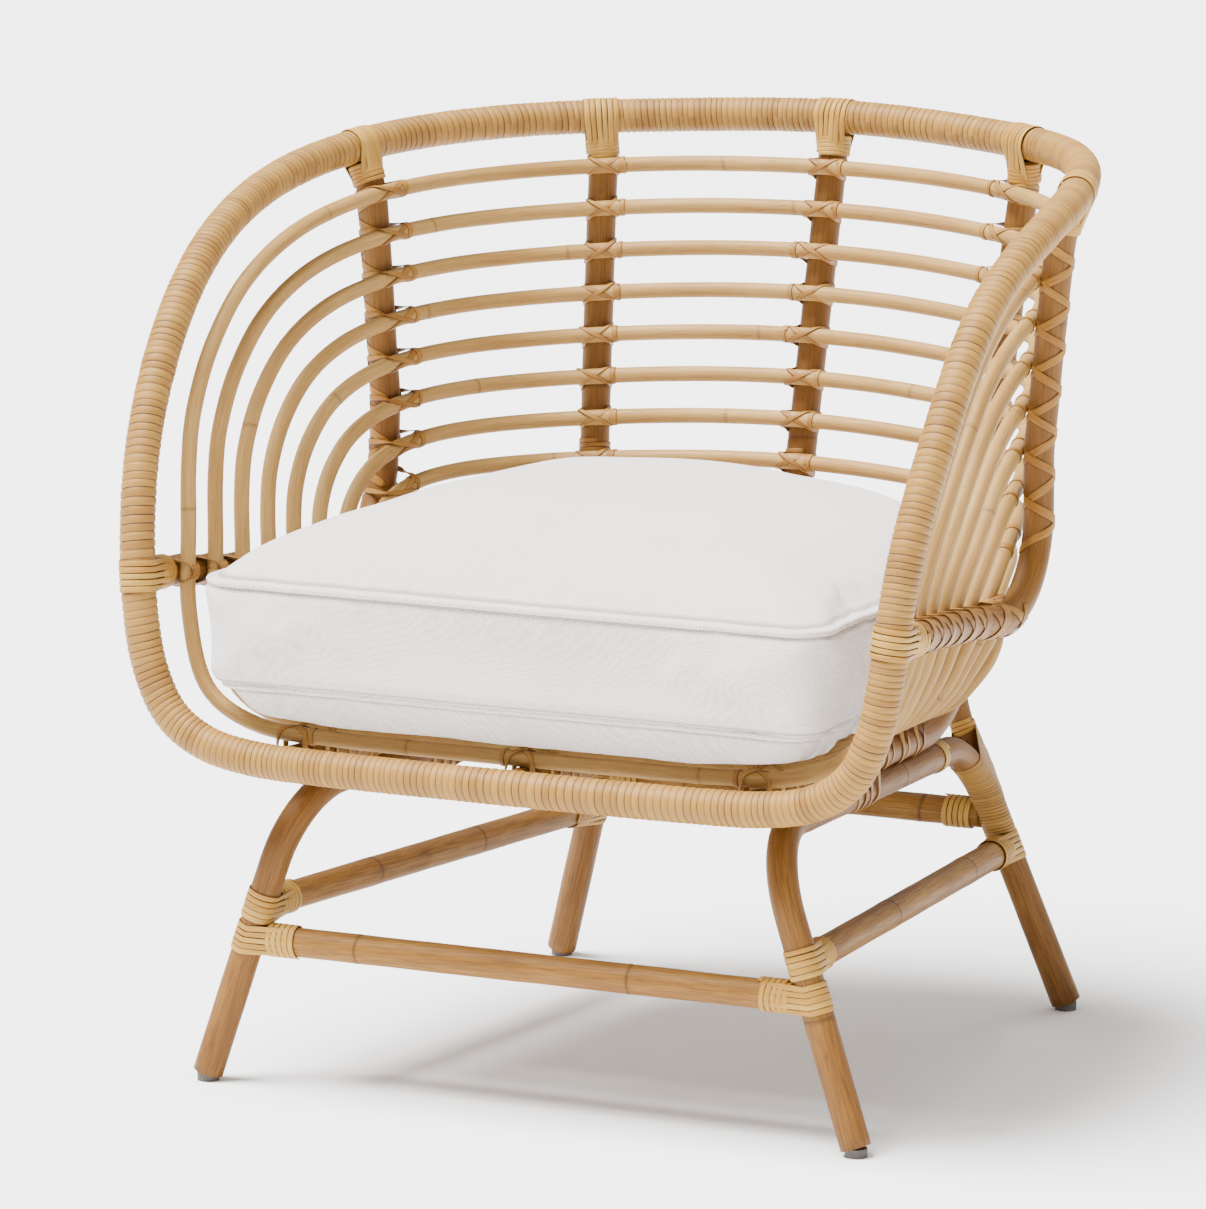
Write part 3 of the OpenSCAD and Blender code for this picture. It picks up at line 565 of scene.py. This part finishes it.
# a skin of turns side by side: a grid that climbs one turn each time round
def makeWound(name, skin, turns, sides, peel, seed, closed=False, nodes=()):
    dice = np.random.default_rng(seed)
    bulge = np.array([0.0, 0.80, 0.97, 1.0, 0.97, 0.80])
    rings = len(bulge)
    rows = turns * rings + (0 if closed else 1)
    i, k = np.meshgrid(np.arange(rows), np.arange(sides), indexing="ij")
    lane, share = i // rings, (i % rings) / rings
    height, tilt = dice.normal(0, 0.12, turns + 1), dice.normal(0, 0.10, turns + 1)
    ridge = np.where(share == 0, 0, height[lane] + tilt[lane] * (share - 0.5))
    turn = i / rings + k / sides
    points = skin(turn, k * 2 * math.pi / sides, peel * (0.42 + 0.58 * bulge[i % rings] + 0.45 * ridge))
    run = turn * 2 * math.pi * rimSizes["pole"]
    field = np.stack([lane + k / sides, np.abs(share - 0.5), run], -1)
    around = np.where(k == sides - 1, i + rings, i)
    beside = (k + 1) % sides
    quads = np.stack([i * sides + k, around % rows * sides + beside, (around + 1) % rows * sides + beside,
                      (i + 1) % rows * sides + k], -1)
    if not closed:
        quads = quads[np.maximum(around, i) + 1 < rows]
    mesh = makeMesh(name, points.reshape(-1, 3), quads.reshape(-1, 4).tolist(), {"strand": field.reshape(-1, 3)})
    return place(name, mesh, peelWound, "frame", "peel", nodes)


# turns on the rim differ in width, some lengths of peel being wider than others
rimTurns = int(round(rimLine.length / rimSizes["pitch"]))
wide = np.random.default_rng(5).normal(1, 0.10, rimTurns) + 0.16 * np.sin(np.arange(rimTurns) * 31.4 / rimTurns + 0.7)
rimEdges = np.concatenate([[0], np.cumsum(wide)]) / wide.sum() * rimLine.length
rimEdges = np.concatenate([rimEdges, rimEdges[1:3] + rimLine.length])


def rimSkin(turn, angle, lift):
    return rimLine.skin(np.interp(turn, np.arange(rimTurns + 3), rimEdges), angle, rimSizes["pole"] + lift)[0]


makeWound("rim_winding_turns", rimSkin, rimTurns, rimSizes["sides"], rimSizes["peel"], 6, True, ["rim_winding"])
print("rim wound")


# hoops, posts, side members, legs
hoopSizes = {"radius": 6.5 * mm, "sides": 16, "count": 11}
poleSizes = {"radius": 12.5 * mm, "brace": 10 * mm, "stretcher": 12 * mm}
poleRadius, rodRadius = poleSizes["radius"], hoopSizes["radius"]
hoopNames = [f"hoop_{k}" if k < 9 else f"seat_hoop_{k}" for k in range(1, hoopSizes["count"] + 1)]
hoops = {name: loopLine(name) for name in hoopNames}
for number, (name, line) in enumerate(hoops.items()):
    makePole(name + "_cane", line, rodRadius, rodCane, "rod", [name], 20 + number,
             hoopSizes["sides"], spacing=420 * mm)


# the thin end of a brace is laid closer round the bend of the leg, by so much at each of these heights
def braceLine(name):
    points = poleLine(name).points[::4].copy()
    closer = np.interp(points[:, 2], np.array([172, 205, 260, 320, 430]) * mm, np.array([15, 12, 12, 12, 0]) * mm)
    points[:, 0] -= np.sign(points[0, 0]) * closer
    return Line(points)


bothSides = ("left", "right")
postNames = ["post_left", "post_centre", "post_right"]
# names, what reads the line, radius, finish, slot, first seed, sides, and mm between growth marks
poleKinds = [
    (postNames + ["side_member_left", "side_member_right"], poleLine, "radius", postCane, "post_cane", 40, 24, 330),
    (["leg_frame_left", "leg_frame_right"], poleLine, "radius", legCane, "leg_cane", 50, 24, 240),
    (["rear_brace_left", "rear_brace_right"], braceLine, "brace", postCane, "post_cane", 60, 20, 330),
    (["front_stretcher", "rear_stretcher", "side_stretcher_left", "side_stretcher_right"], barLine,
     "stretcher", barCane, "leg_cane", 70, 24, 210),
]
poles = {}
for names, readLine, size, finish, slot, seed, sides, spacing in poleKinds:
    for number, name in enumerate(names):
        poles[name] = readLine(name)
        makePole(name + "_cane", poles[name], poleSizes[size], finish, slot, [name], seed + number, sides, spacing * mm)
print("poles made")


# a few turns round a hoop, beside a pole that it crosses
def collar(strips, hoop, spot, way, turns, pitch, **kind):
    wind(strips, hoop, spot + way * (poleRadius + 3 * mm), turns, way * pitch,
         rodRadius + 0.2 * mm, strips.dice.uniform(0, 6.28), **kind)


# lashings where hoops cross the posts, and a turn round the rod beside each
lashSizes = {"lean": 0.52, "width": 4.4 * mm, "thick": 0.7 * mm}
for number, name in enumerate(postNames):
    strips = Strips("lashings_" + name, 80 + number)
    d = lashSizes
    for hoop in hoops.values():
        for _, a, aWay, spot, b, bWay in crossings(poles[name], hoop):
            first = strips.dice.choice([-1, 1])
            for layer, way in enumerate((first, -first)):
                crossLoop(strips, a, aWay, poleRadius, b, bWay, rodRadius,
                          way * d["lean"] * strips.dice.uniform(0.9, 1.08), thick=d["thick"],
                          width=d["width"] * strips.dice.uniform(0.9, 1.1), lift=layer * 0.6 * mm)
            inward = -np.sign(bWay[0]) * np.sign(b[0]) if abs(b[0]) > 50 * mm else strips.dice.choice([-1, 1])
            collar(strips, hoop, spot, inward, 1.3, 1.5 * mm, width=d["width"], thick=d["thick"])
    strips.make(peelStrip, "peel")
    print(name, "lashed,", strips.count, "strips")


# distance from a pole's middle to a tight strip round it and a rod beside it, and the strip's own normal
def hullReach(angle, big, small, apart):
    angle = (angle + math.pi) % (2 * math.pi) - math.pi
    off, sign = np.abs(angle), np.sign(angle)
    touch = math.acos((big - small) / apart)
    corner = math.atan2(small * math.sin(touch), apart + small * math.cos(touch))
    near = np.minimum(off, corner)
    over = apart * np.cos(near) + np.sqrt(small ** 2 - (apart * np.sin(near)) ** 2 + 1e-12)
    across = big / np.cos(np.clip(touch - off, 0, 1.5))
    reach = np.where(off < corner, over, np.where(off < touch, across, big))
    onRod = np.arctan2(over * np.sin(near), over * np.cos(near) - apart)
    facing = sign * np.where(off < corner, onRod, np.where(off < touch, touch, off))
    return reach, facing


# strips on the side members: "steep" tells the upright limb from the one that runs forward
laceSizes = {"lift": 0.35 * mm, "thick": 0.55 * mm, "upright": 7.4 * mm, "forward": 9.5 * mm, "steep": 0.45}


# places on a side member, where u counts its crossings with the hoops, and the ways to the rods and across
def besideHoops(line, limb, u):
    spots, inward = np.array([c[1] for c in limb]), np.array([c[5] - c[2] for c in limb])
    ends = np.concatenate([[2 * spots[0] - spots[1]], spots, [2 * spots[-1] - spots[-2]]])
    s = np.clip(np.interp(u, np.arange(-1, len(spots) + 1), ends), 1 * mm, line.length - 1 * mm)
    middle, way, _, _ = line.at(s)
    toRod = between(u, np.arange(len(spots)), inward)
    toRod = unit(toRod - way * np.sum(toRod * way, 1, keepdims=True))
    return middle, toRod, np.cross(way, toRod)


# the forward limb: two pairs of strips wind it in opposite hands and cross over every hoop
def lace(strips, line, limb):
    u = np.linspace(-0.25, len(limb) - 0.75, len(limb) * 26)
    middle, toRod, side = besideHoops(line, limb, u)
    apart = poleRadius + rodRadius + 0.5 * mm
    for layer, (hand, phase) in enumerate([(1, 0), (-1, 0), (1, 1), (-1, 1)]):
        angle = hand * math.pi * (u + phase)
        reach, facing = hullReach(angle, poleRadius, rodRadius, apart)
        path = middle + turned(toRod, side, angle) * reach[:, None]
        normal = turned(toRod, side, facing)
        strips.add(path, normal, width=laceSizes["forward"], thick=laceSizes["thick"],
                   lift=laceSizes["lift"] * (layer % 2), taper=True)


# the upright limb: diagonal strips round its outer face, from the front edge to the back and the other way
def diagonals(strips, line, limb, lag):
    for i in range(len(limb) - 1):
        for hand, turns, steps in ((1, (35, 180, 325), (0.04, 0.5, 0.96)),
                                   (-1, (325, 180, 35 - 60 * lag), (lag, 0.5 + 0.2 * lag, 0.96 + lag))):
            u = i + np.linspace(steps[0], steps[2], 34)
            angle = np.radians(np.interp(u, i + np.array(steps), turns))
            middle, toRod, side = besideHoops(line, limb, u)
            side = side * -np.sign(side[:, 1:2])
            normal = turned(toRod, side, angle)
            path = middle + normal * (poleRadius + 0.1 * mm)
            strips.add(path, normal, width=laceSizes["upright"] * strips.dice.uniform(0.94, 1.06),
                       thick=laceSizes["thick"], lift=laceSizes["lift"] * (hand > 0), taper=True)


for side, lag in (("left", 0.0), ("right", 0.3)):
    line = poles["side_member_" + side]
    strips = Strips("lacing_" + side, 84)
    found = [(hoop,) + c for hoop in hoops.values() for c in crossings(line, hoop)]
    upper = sorted([c for c in found if abs(c[3][2]) >= laceSizes["steep"]], key=lambda c: -c[2][2])
    lower = sorted([c for c in found if abs(c[3][2]) < laceSizes["steep"]], key=lambda c: c[1])
    diagonals(strips, line, upper, lag)
    for hoop, _, a, aWay, spot, b, bWay in upper:
        for layer, lean in enumerate((0.34, -0.34) if side == "left" else ()):
            crossLoop(strips, a, aWay, poleRadius + 0.2 * mm, b, bWay, rodRadius, lean,
                      width=4.6 * mm, thick=0.5 * mm, lift=0.2 * mm + layer * 0.4 * mm)
        behind = np.sign(bWay[1])
        for off in (behind,) if side == "left" else (behind, -0.8 * behind):
            collar(strips, hoop, spot, off, 1.6, 2.4 * mm, width=4.2 * mm, thick=0.6 * mm)
    lace(strips, line, lower)
    strips.make(memberPeel, "peel")
    print("side member laced over", len(upper), "and", len(lower), "hoops")


# the point of a leg frame's level rail that lies nearest to a place along it
def onRail(rail, y):
    return np.where(rail.points[:, 2] > 225 * mm, np.abs(rail.points[:, 1] - y), 9).argmin()


# the posts' bars run on the rails of the leg frames and are bound to them in two places
strips = Strips("lashings_under_seat", 99)
for side in bothSides:
    rail, bar = poles["leg_frame_" + side], poles["post_" + side]
    for spot in (-46 * mm, -74 * mm):
        i = onRail(rail, spot)
        k = norm(bar.points - rail.points[i], axis=1).argmin()
        for layer, lean in enumerate((1.0, -1.0)):
            crossLoop(strips, rail.points[i], rail.way[i], poleRadius, bar.points[k], bar.way[k],
                      poleRadius, lean, width=5.4 * mm, lift=layer * 0.7 * mm)
strips.make(peelStrip, "peel")


# joints where one pole butts on another
# one strip laid over the through pole and down both flanks of the butting one
def overStrip(strips, middle, along, way, radius, buttRadius, offset, reach, fan, **kind):
    out = unit(way - along * (way @ along))
    side = np.cross(along, out)
    slant = (way @ along) / (way @ out)
    half = math.sqrt(max(buttRadius ** 2 - offset ** 2, (0.45 * buttRadius) ** 2))
    far = math.hypot(reach, half)
    touch = math.atan2(half, reach) + math.acos(min(radius / far, 1))
    arc = np.linspace(touch, 2 * math.pi - touch, 26)
    x = np.concatenate([np.linspace(reach, radius * math.cos(touch), 8)[:-1], radius * np.cos(arc),
                        np.linspace(radius * math.cos(touch), reach, 8)[1:]])
    y = np.concatenate([np.linspace(half, radius * math.sin(touch), 8)[:-1], radius * np.sin(arc),
                        -np.linspace(radius * math.sin(touch), half, 8)[1:]])
    down = np.clip(x / reach, 0, 1)
    spread = offset * (1 + (fan - 1) * (1 - down) ** 2)
    path = middle + out * x[:, None] + side * y[:, None] + along * (spread + slant * np.maximum(x, 0))[:, None]
    rounded = unit(np.stack([x, y], 1))
    flat = unit(np.stack([np.zeros(len(y)), np.sign(y) * half], 1))
    blend = (down > 0)[:, None] * np.minimum(down * 3, 1)[:, None]
    planar = rounded * (1 - blend) + flat * blend
    normal = out * planar[:, :1] + side * planar[:, 1:] + along * (offset / buttRadius * down)[:, None]
    strips.add(path, unit(normal), **kind)


def teeJoint(name, through, throughRadius, butting, last, buttRadius, seed, nodes=(), over=5,
             overWidth=4.6 * mm, turns=5, turnWidth=4.9 * mm, turnPitch=5.1 * mm, fan=1.0):
    strips = Strips(name, seed)
    end = butting.points[-1 if last else 0]
    way = butting.way[-1 if last else 0] * (-1 if last else 1)
    near = norm(through.points - end, axis=1).argmin()
    along = through.way[near]
    square = unit(way - along * (way @ along))
    # the butting pole's axis is followed back to the through pole's
    middle = end - way * ((end - through.points[near]) @ square) / (way @ square)
    slant = abs(way @ along)
    begin = (throughRadius + buttRadius * slant * 0.5) / math.sqrt(1 - slant ** 2) + 0.6 * mm + turnWidth / 2
    reach = begin + turns * turnPitch * 0.75
    for k in range(over):
        offset = (k - (over - 1) / 2) * (2 * buttRadius + 1 * mm) / over
        overStrip(strips, middle, along, way, throughRadius + 0.25 * mm, buttRadius + 0.1 * mm, offset, reach, fan,
                  width=overWidth * strips.dice.uniform(0.95, 1.12), thick=0.9 * mm,
                  lift=strips.dice.uniform(0, 0.3) * mm)
    off = begin - norm(end - middle)
    start, hand = (butting.length - off, -1) if last else (off, 1)
    wind(strips, butting, start, turns, hand * turnPitch, buttRadius + 0.95 * mm, strips.dice.uniform(0, 6.28),
         width=turnWidth, thick=0.95 * mm)
    strips.make(peelJoint, "peel", nodes)


rimRadius = rimSizes["pole"] + rimSizes["peel"]
topSizes = {"over": 6, "overWidth": 4.7 * mm, "turns": 4.6, "turnWidth": 3.7 * mm, "turnPitch": 3.35 * mm, "fan": 1.14}
for number, side in enumerate(["left", "centre", "right"]):
    teeJoint("post_top_strips_" + side, rimLine, rimRadius, poles["post_" + side], False, poleRadius,
             110 + number, ["post_binding_" + side], **topSizes)
for number, side in enumerate(bothSides):
    member = poles["side_member_" + side]
    upright = member.points[0][2] < member.points[-1][2]
    teeJoint("member_top_strips_" + side, rimLine, rimRadius, member, upright, poleRadius,
             120 + number, **dict(topSizes, fan=0.82))
    teeJoint("member_front_strips_" + side, rimLine, rimRadius, member, not upright, poleRadius,
             124 + number, turns=4, turnPitch=5.4 * mm, turnWidth=5.6 * mm)

ends = ("front", "rear")
barJoints = [(end + "_stretcher", side, f"{end}_binding_{side}") for end in ends for side in bothSides]
barJoints += [("side_stretcher_" + side, side, f"side_binding_{end}_{side}") for side in bothSides for end in ends]
for number, (bar, side, node) in enumerate(barJoints):
    line = poles[bar]
    # the side bars run between front and rear, the others between left and right
    axis, first = (1, "front") if "side" in node else (0, "left")
    last = (line.points[-1][axis] < line.points[0][axis]) == (first in node)
    teeJoint(node + "_strips", poles["leg_frame_" + side], poleRadius, line, last, poleSizes["stretcher"],
             130 + number, [node], over=0 if "rear_binding" in node else 5)
print("joints bound")


# a tapering sleeve of fine turns holds each rear brace to the bend of its leg
braceSizes = {
    "low": 149 * mm, "high": 219 * mm, "turns": 27, "sides": 48, "peel": 1.1 * mm, "tilt": 0.9,
    "leg": 12.4 * mm, "brace": 10 * mm, "thinOver": 34 * mm, "collar": 237 * mm, "railCollar": 137 * mm,
}


# sections of both poles along the leg's bend, leaning towards level, and the tight outline round each pair
def spliceTable(leg, brace):
    d = braceSizes
    bend = (leg.points[:, 1] > 150 * mm) & (leg.points[:, 2] > d["low"]) & (leg.points[:, 2] < d["high"])
    order = np.where(bend)[0]
    order = order[np.argsort(leg.points[order][:, 2])]
    around = np.linspace(0, 2 * math.pi, 120, endpoint=False)
    theta = np.linspace(0, 2 * math.pi, d["sides"], endpoint=False)
    rows, facing = [], []
    for i in order:
        middle, axis = leg.points[i], leg.way[i] * np.sign(leg.way[i][2])
        way = unit(axis + np.array([0, 0, d["tilt"]]))
        k = np.abs((brace.points - middle) @ way).argmin()
        other, run = brace.points[k], brace.way[k]
        past = (other - middle) @ way
        other = other - way * past
        first = unit(other - middle - way * ((other - middle) @ way))
        second = np.cross(way, first)
        u = unit(np.cross(axis, first))
        ring = d["leg"] * turned(u, np.cross(u, axis), around)
        ring = ring - axis * ((ring @ way) / (axis @ way))[:, None] + middle
        u = unit(np.cross(run, way))
        v = np.cross(run, u)
        thin = np.clip(1 - abs(past) / d["thinOver"], 0.05, 1)
        oval = (d["brace"] * thin) * turned(u, v, around)
        oval = oval - run * ((oval @ way) / (run @ way))[:, None] + other
        both = np.vstack([ring, oval])
        away = turned(first, second, theta)
        rows.append(both[(away @ both.T).argmax(axis=1)])
        facing.append(away)
    return np.array(rows), np.array(facing)


for number, side in enumerate(bothSides):
    d = braceSizes
    rows, facing = spliceTable(poles["leg_frame_" + side], poles["rear_brace_" + side])

    def spliceSkin(turn, angle, lift, rows=rows, facing=facing):
        station = np.clip(turn / (braceSizes["turns"] + 1), 0, 1) * (len(rows) - 1)
        low = np.minimum(station.astype(int), len(rows) - 2)
        k = np.round(angle / (2 * math.pi) * rows.shape[1]).astype(int) % rows.shape[1]
        part = (station - low)[..., None]
        base = rows[low, k] * (1 - part) + rows[low + 1, k] * part
        return base + facing[low, k] * lift[..., None]

    makeWound("brace_sleeve_" + side, spliceSkin, d["turns"], d["sides"], d["peel"], 150 + number)
    strips = Strips("brace_collars_" + side, 154 + number)
    brace, rail = poles["rear_brace_" + side], poles["leg_frame_" + side]
    spot = brace.places[np.abs(brace.points[:, 2] - d["collar"]).argmin()]
    wind(strips, brace, spot - 5 * mm, 2.6, 4.3 * mm, 10.2 * mm, 0.3, width=4.2 * mm)
    spot = rail.places[onRail(rail, d["railCollar"])]
    wind(strips, rail, spot - 6 * mm, 2.4, 5.6 * mm, poleRadius + 0.2 * mm, 0.4, width=5.6 * mm)
    strips.make(peelJoint, "peel")

# a few turns low on each post, at about the height of the tops of the braces
strips = Strips("post_low_strips", 160)
for name in postNames:
    line = poles[name]
    upright = line.points[:, 1] >= 100 * mm
    spot = line.places[np.where(upright, np.abs(line.points[:, 2] - 452 * mm), 9).argmin()]
    wind(strips, line, spot - 8 * mm, 3.6, 4.2 * mm, poleRadius + 0.1 * mm, 1.0, width=4.2 * mm)
strips.make(peelStrip, "peel")
print("braces and posts bound")


# cushion
cushionSizes = {
    "inset": 2 * mm, "voxel": 6 * mm, "pressure": 4.0, "steps": 20, "mostMove": 9 * mm, "letOut": 10 * mm,
    "upperSeam": 418 * mm, "lowerSeam": 335 * mm, "seamFront": -316 * mm, "fall": 0.038,
    "bars": 298.5 * mm, "barsFront": -276 * mm, "barsLevel": 150 * mm, "barsClimb": 0.10,
    "piping": 2.6 * mm, "proud": 1.2 * mm, "rays": 200, "pipingSides": 10,
}


# the lower seam falls towards the back with the bars
def lowerSeam(y):
    return cushionSizes["lowerSeam"] - cushionSizes["fall"] * (y - cushionSizes["seamFront"])


seams = [(cushionSizes["upperSeam"], 0.0), (round(lowerSeam(0), 3), -cushionSizes["fall"])]
coverTwill = twillFinish("cover_twill", (0.84, 0.785, 0.75), (0.67, 0.61, 0.57), seams)


# the underside comes down to the bars, the sides crease beside the piping, and the cover puckers
def settle(mesh):
    d = cushionSizes
    points, normals = readPoints(mesh), readPoints(mesh, "normal")
    # the sides are let out to the size of the solid, which the cloth run draws in
    points[:, :2] += normals[:, :2] * d["letOut"]
    x, y, z = points.T
    seam = lowerSeam(y)
    bars = d["bars"] - d["fall"] * (y - d["barsFront"]) + np.maximum(0, np.abs(x) - d["barsLevel"]) * d["barsClimb"]
    under = np.clip((seam - 2 * mm - z) / (9 * mm), 0, 1)
    points[:, 2] = z - 0.78 * under * np.maximum(0, z - bars)
    flat = np.clip(1 - np.abs(normals[:, 2:]) * 1.2, 0, 1)
    crease = np.zeros(len(z))
    for height in (d["upperSeam"], seam):
        for side in (-1, 1):
            crease += hump(z - height - side * 5 * mm, 2.6 * mm)
    along = np.arctan2(y + 0.06, x)
    pucker = 0.5 * np.sin(along * 37 + 2 * np.sin(along * 5)) + 0.5 * np.sin(along * 61 + 1.3 * np.sin(along * 9))
    corner = hump(np.abs(x) - 235 * mm, 60 * mm) * hump(y + 250 * mm, 70 * mm)
    near = hump(z - d["upperSeam"] - 12 * mm, 12 * mm) + hump(z - seam + 10 * mm, 10 * mm)
    near += 0.7 * hump(z - d["upperSeam"] + 14 * mm, 12 * mm)
    wave = np.sin(x * 21 + 3 * np.sin(y * 13)) * np.sin(y * 17 + 2 * np.sin(x * 9)) + 0.5 * np.sin(z * 60 + x * 14)
    ripple = (0.8 * mm + 0.9 * mm * corner) * near * pucker + 1.2 * mm * wave
    writePoints(mesh, points + normals * (ripple[:, None] - 1.7 * mm * crease[:, None] * flat))


def makeCushion():
    d = cushionSizes
    low, high = (np.array(corner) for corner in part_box("seat_cushion"))
    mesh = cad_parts["seat_cushion"].data.copy()
    mesh.name = "cushion_body"
    piece = place("cushion_body", mesh, coverTwill, "cushion", "cushion_cover", ["seat_cushion"])
    middle, half = (low + high) / 2, (high - low) / 2
    writePoints(mesh, middle + (readPoints(mesh) - middle) * (1 - d["inset"] / half))
    remesh = piece.modifiers.new("remesh", "REMESH")
    remesh.mode, remesh.voxel_size = "VOXEL", d["voxel"]
    bpy.context.view_layer.objects.active = piece
    bpy.ops.object.modifier_apply(modifier="remesh")
    # only the front corners are rounded, seen from above
    corners = piece.vertex_groups.new(name="corners")
    for v in piece.data.vertices:
        near = math.exp(-((abs(v.co.x) - 0.25) / 0.05) ** 2 - ((v.co.y + 0.29) / 0.05) ** 2)
        if near > 0.02:
            corners.add([v.index], near, "REPLACE")
    rounder = piece.modifiers.new("rounder", "SMOOTH")
    rounder.factor, rounder.iterations, rounder.use_z = 0.5, 20, False
    rounder.vertex_group = "corners"
    bpy.ops.object.modifier_apply(modifier="rounder")
    start = readPoints(piece.data)
    cloth = piece.modifiers.new("cloth", "CLOTH")
    cloth.settings.use_pressure = True
    cloth.settings.uniform_pressure_force = d["pressure"]
    cloth.settings.effector_weights.gravity = 0
    cloth.settings.quality = 4
    scene = bpy.context.scene
    scene.frame_start, scene.frame_end = 1, d["steps"]
    for step in range(1, d["steps"] + 1):
        scene.frame_set(step)
    bpy.ops.object.modifier_apply(modifier="cloth")
    scene.frame_set(1)
    move = readPoints(piece.data) - start
    far = norm(move, axis=1, keepdims=True)
    writePoints(piece.data, start + move * np.minimum(1, d["mostMove"] / np.maximum(far, 1e-9)))
    calmer = piece.modifiers.new("calmer", "SMOOTH")
    calmer.factor, calmer.iterations = 0.5, 3
    bpy.ops.object.modifier_apply(modifier="calmer")
    finer = piece.modifiers.new("finer", "SUBSURF")
    finer.levels = finer.render_levels = 1
    bpy.ops.object.modifier_apply(modifier="finer")
    settle(piece.data)
    piece.data.polygons.foreach_set("use_smooth", [True] * len(piece.data.polygons))
    return piece


cushion = makeCushion()
print("cushion filled,", len(cushion.data.vertices), "points")


# piping on both seams
def makePiping(name, height):
    d = cushionSizes
    mesh = cushion.data
    tree = BVHTree.FromPolygons([v.co for v in mesh.vertices], [tuple(p.vertices) for p in mesh.polygons])
    ring = []
    for k in range(d["rays"]):
        turn = 2 * math.pi * k / d["rays"]
        way = Vector((math.cos(turn) * 1.1, math.sin(turn), 0)).normalized()
        y = 0
        # the seam's height hangs on where the ray ends
        for _ in range(4):
            spot, normal, _, _ = tree.ray_cast(Vector((0, -60 * mm, height(y))), way)
            y = spot.y
        ring.append(spot + Vector((normal.x, normal.y, 0)).normalized() * d["proud"])
    line = Line(np.array([tuple(p) for p in ring]), closed=True, step=4 * mm)
    s = np.linspace(0, line.length, int(line.length / (4 * mm)), endpoint=False)
    angle = np.arange(d["pipingSides"]) * 2 * math.pi / d["pipingSides"]
    sGrid, aGrid = np.meshgrid(s, angle, indexing="ij")
    points, _ = line.skin(sGrid, aGrid, np.full(sGrid.shape, d["piping"]))
    mesh = makeMesh(name, points.reshape(-1, 3), gridFaces(len(s), d["pipingSides"], True), {})
    place(name, mesh, coverTwill, "cushion", "cushion_cover")


makePiping("cushion_piping_upper", lambda y: cushionSizes["upperSeam"])
makePiping("cushion_piping_lower", lowerSeam)

# glides, floor, light and camera
for name in ["glide_front_left", "glide_front_right", "glide_rear_left", "glide_rear_right"]:
    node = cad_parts[name]
    node.data.materials.clear()
    node.data.materials.append(glideGrey)


def floorFinish():
    f = Finish("studio_floor")
    where = f.node("ShaderNodeTexCoord", out="Object")
    cloud = f.noise(where, 1.5, 3.0)
    toned = f.mix(cloud, (0.96, 0.96, 0.955), (0.94, 0.94, 0.935))
    return f.surface(Base_Color=toned, Roughness=0.9)


floorMesh = bpy.data.meshes.new("studio_floor")
floorMesh.from_pydata([(-14, -14, 0), (14, -14, 0), (14, 14, 0), (-14, 14, 0)], [], [(0, 1, 2, 3)])
floor = bpy.data.objects.new("studio_floor", floorMesh)
bpy.context.scene.collection.objects.link(floor)
floorMesh.materials.append(floorFinish())

lightSizes = {"world": 0.75, "sun": 15.0, "softness": 0.6, "rim": 30.0}
world = bpy.data.worlds.new("studio")
bpy.context.scene.world = world
world.use_nodes = True
sky = world.node_tree.nodes["Background"].inputs
sky[0].default_value = (1.0, 1.0, 1.0, 1.0)
sky[1].default_value = lightSizes["world"]


def softLight(name, kind, where, aim, power, size):
    lamp = bpy.data.lights.new(name, kind)
    lamp.energy = power
    setattr(lamp, "angle" if kind == "SUN" else "size", size)
    piece = bpy.data.objects.new(name, lamp)
    bpy.context.scene.collection.objects.link(piece)
    piece.location = where
    piece.rotation_mode = "QUATERNION"
    piece.rotation_quaternion = (Vector(aim) - Vector(where)).to_track_quat("-Z", "Y")


# one broad, soft source from above on the camera's left, and a little light from behind
softLight("overhead_light", "SUN", (-0.85, -0.75, 3.4), (0, 0, 0.4), lightSizes["sun"], lightSizes["softness"])
softLight("back_light", "AREA", (0.5, 3.0, 2.6), (0, 0, 0.4), lightSizes["rim"], 2.4)

cameraSizes = {"lens": 252.8, "sensor": 36.0, "turn": 26.27, "rise": 10.45, "place": (2.958, -6.127, 1.624)}
camera = bpy.data.cameras.new("camera")
camera.lens, camera.sensor_width = cameraSizes["lens"], cameraSizes["sensor"]
cameraPiece = bpy.data.objects.new("camera", camera)
bpy.context.scene.collection.objects.link(cameraPiece)
turn, rise = math.radians(cameraSizes["turn"]), math.radians(cameraSizes["rise"])
back = Vector((math.sin(turn) * math.cos(rise), -math.cos(turn) * math.cos(rise), math.sin(rise)))
cameraPiece.location = cameraSizes["place"]
cameraPiece.rotation_mode = "QUATERNION"
cameraPiece.rotation_quaternion = (-back).to_track_quat("-Z", "Y")
bpy.context.scene.camera = cameraPiece
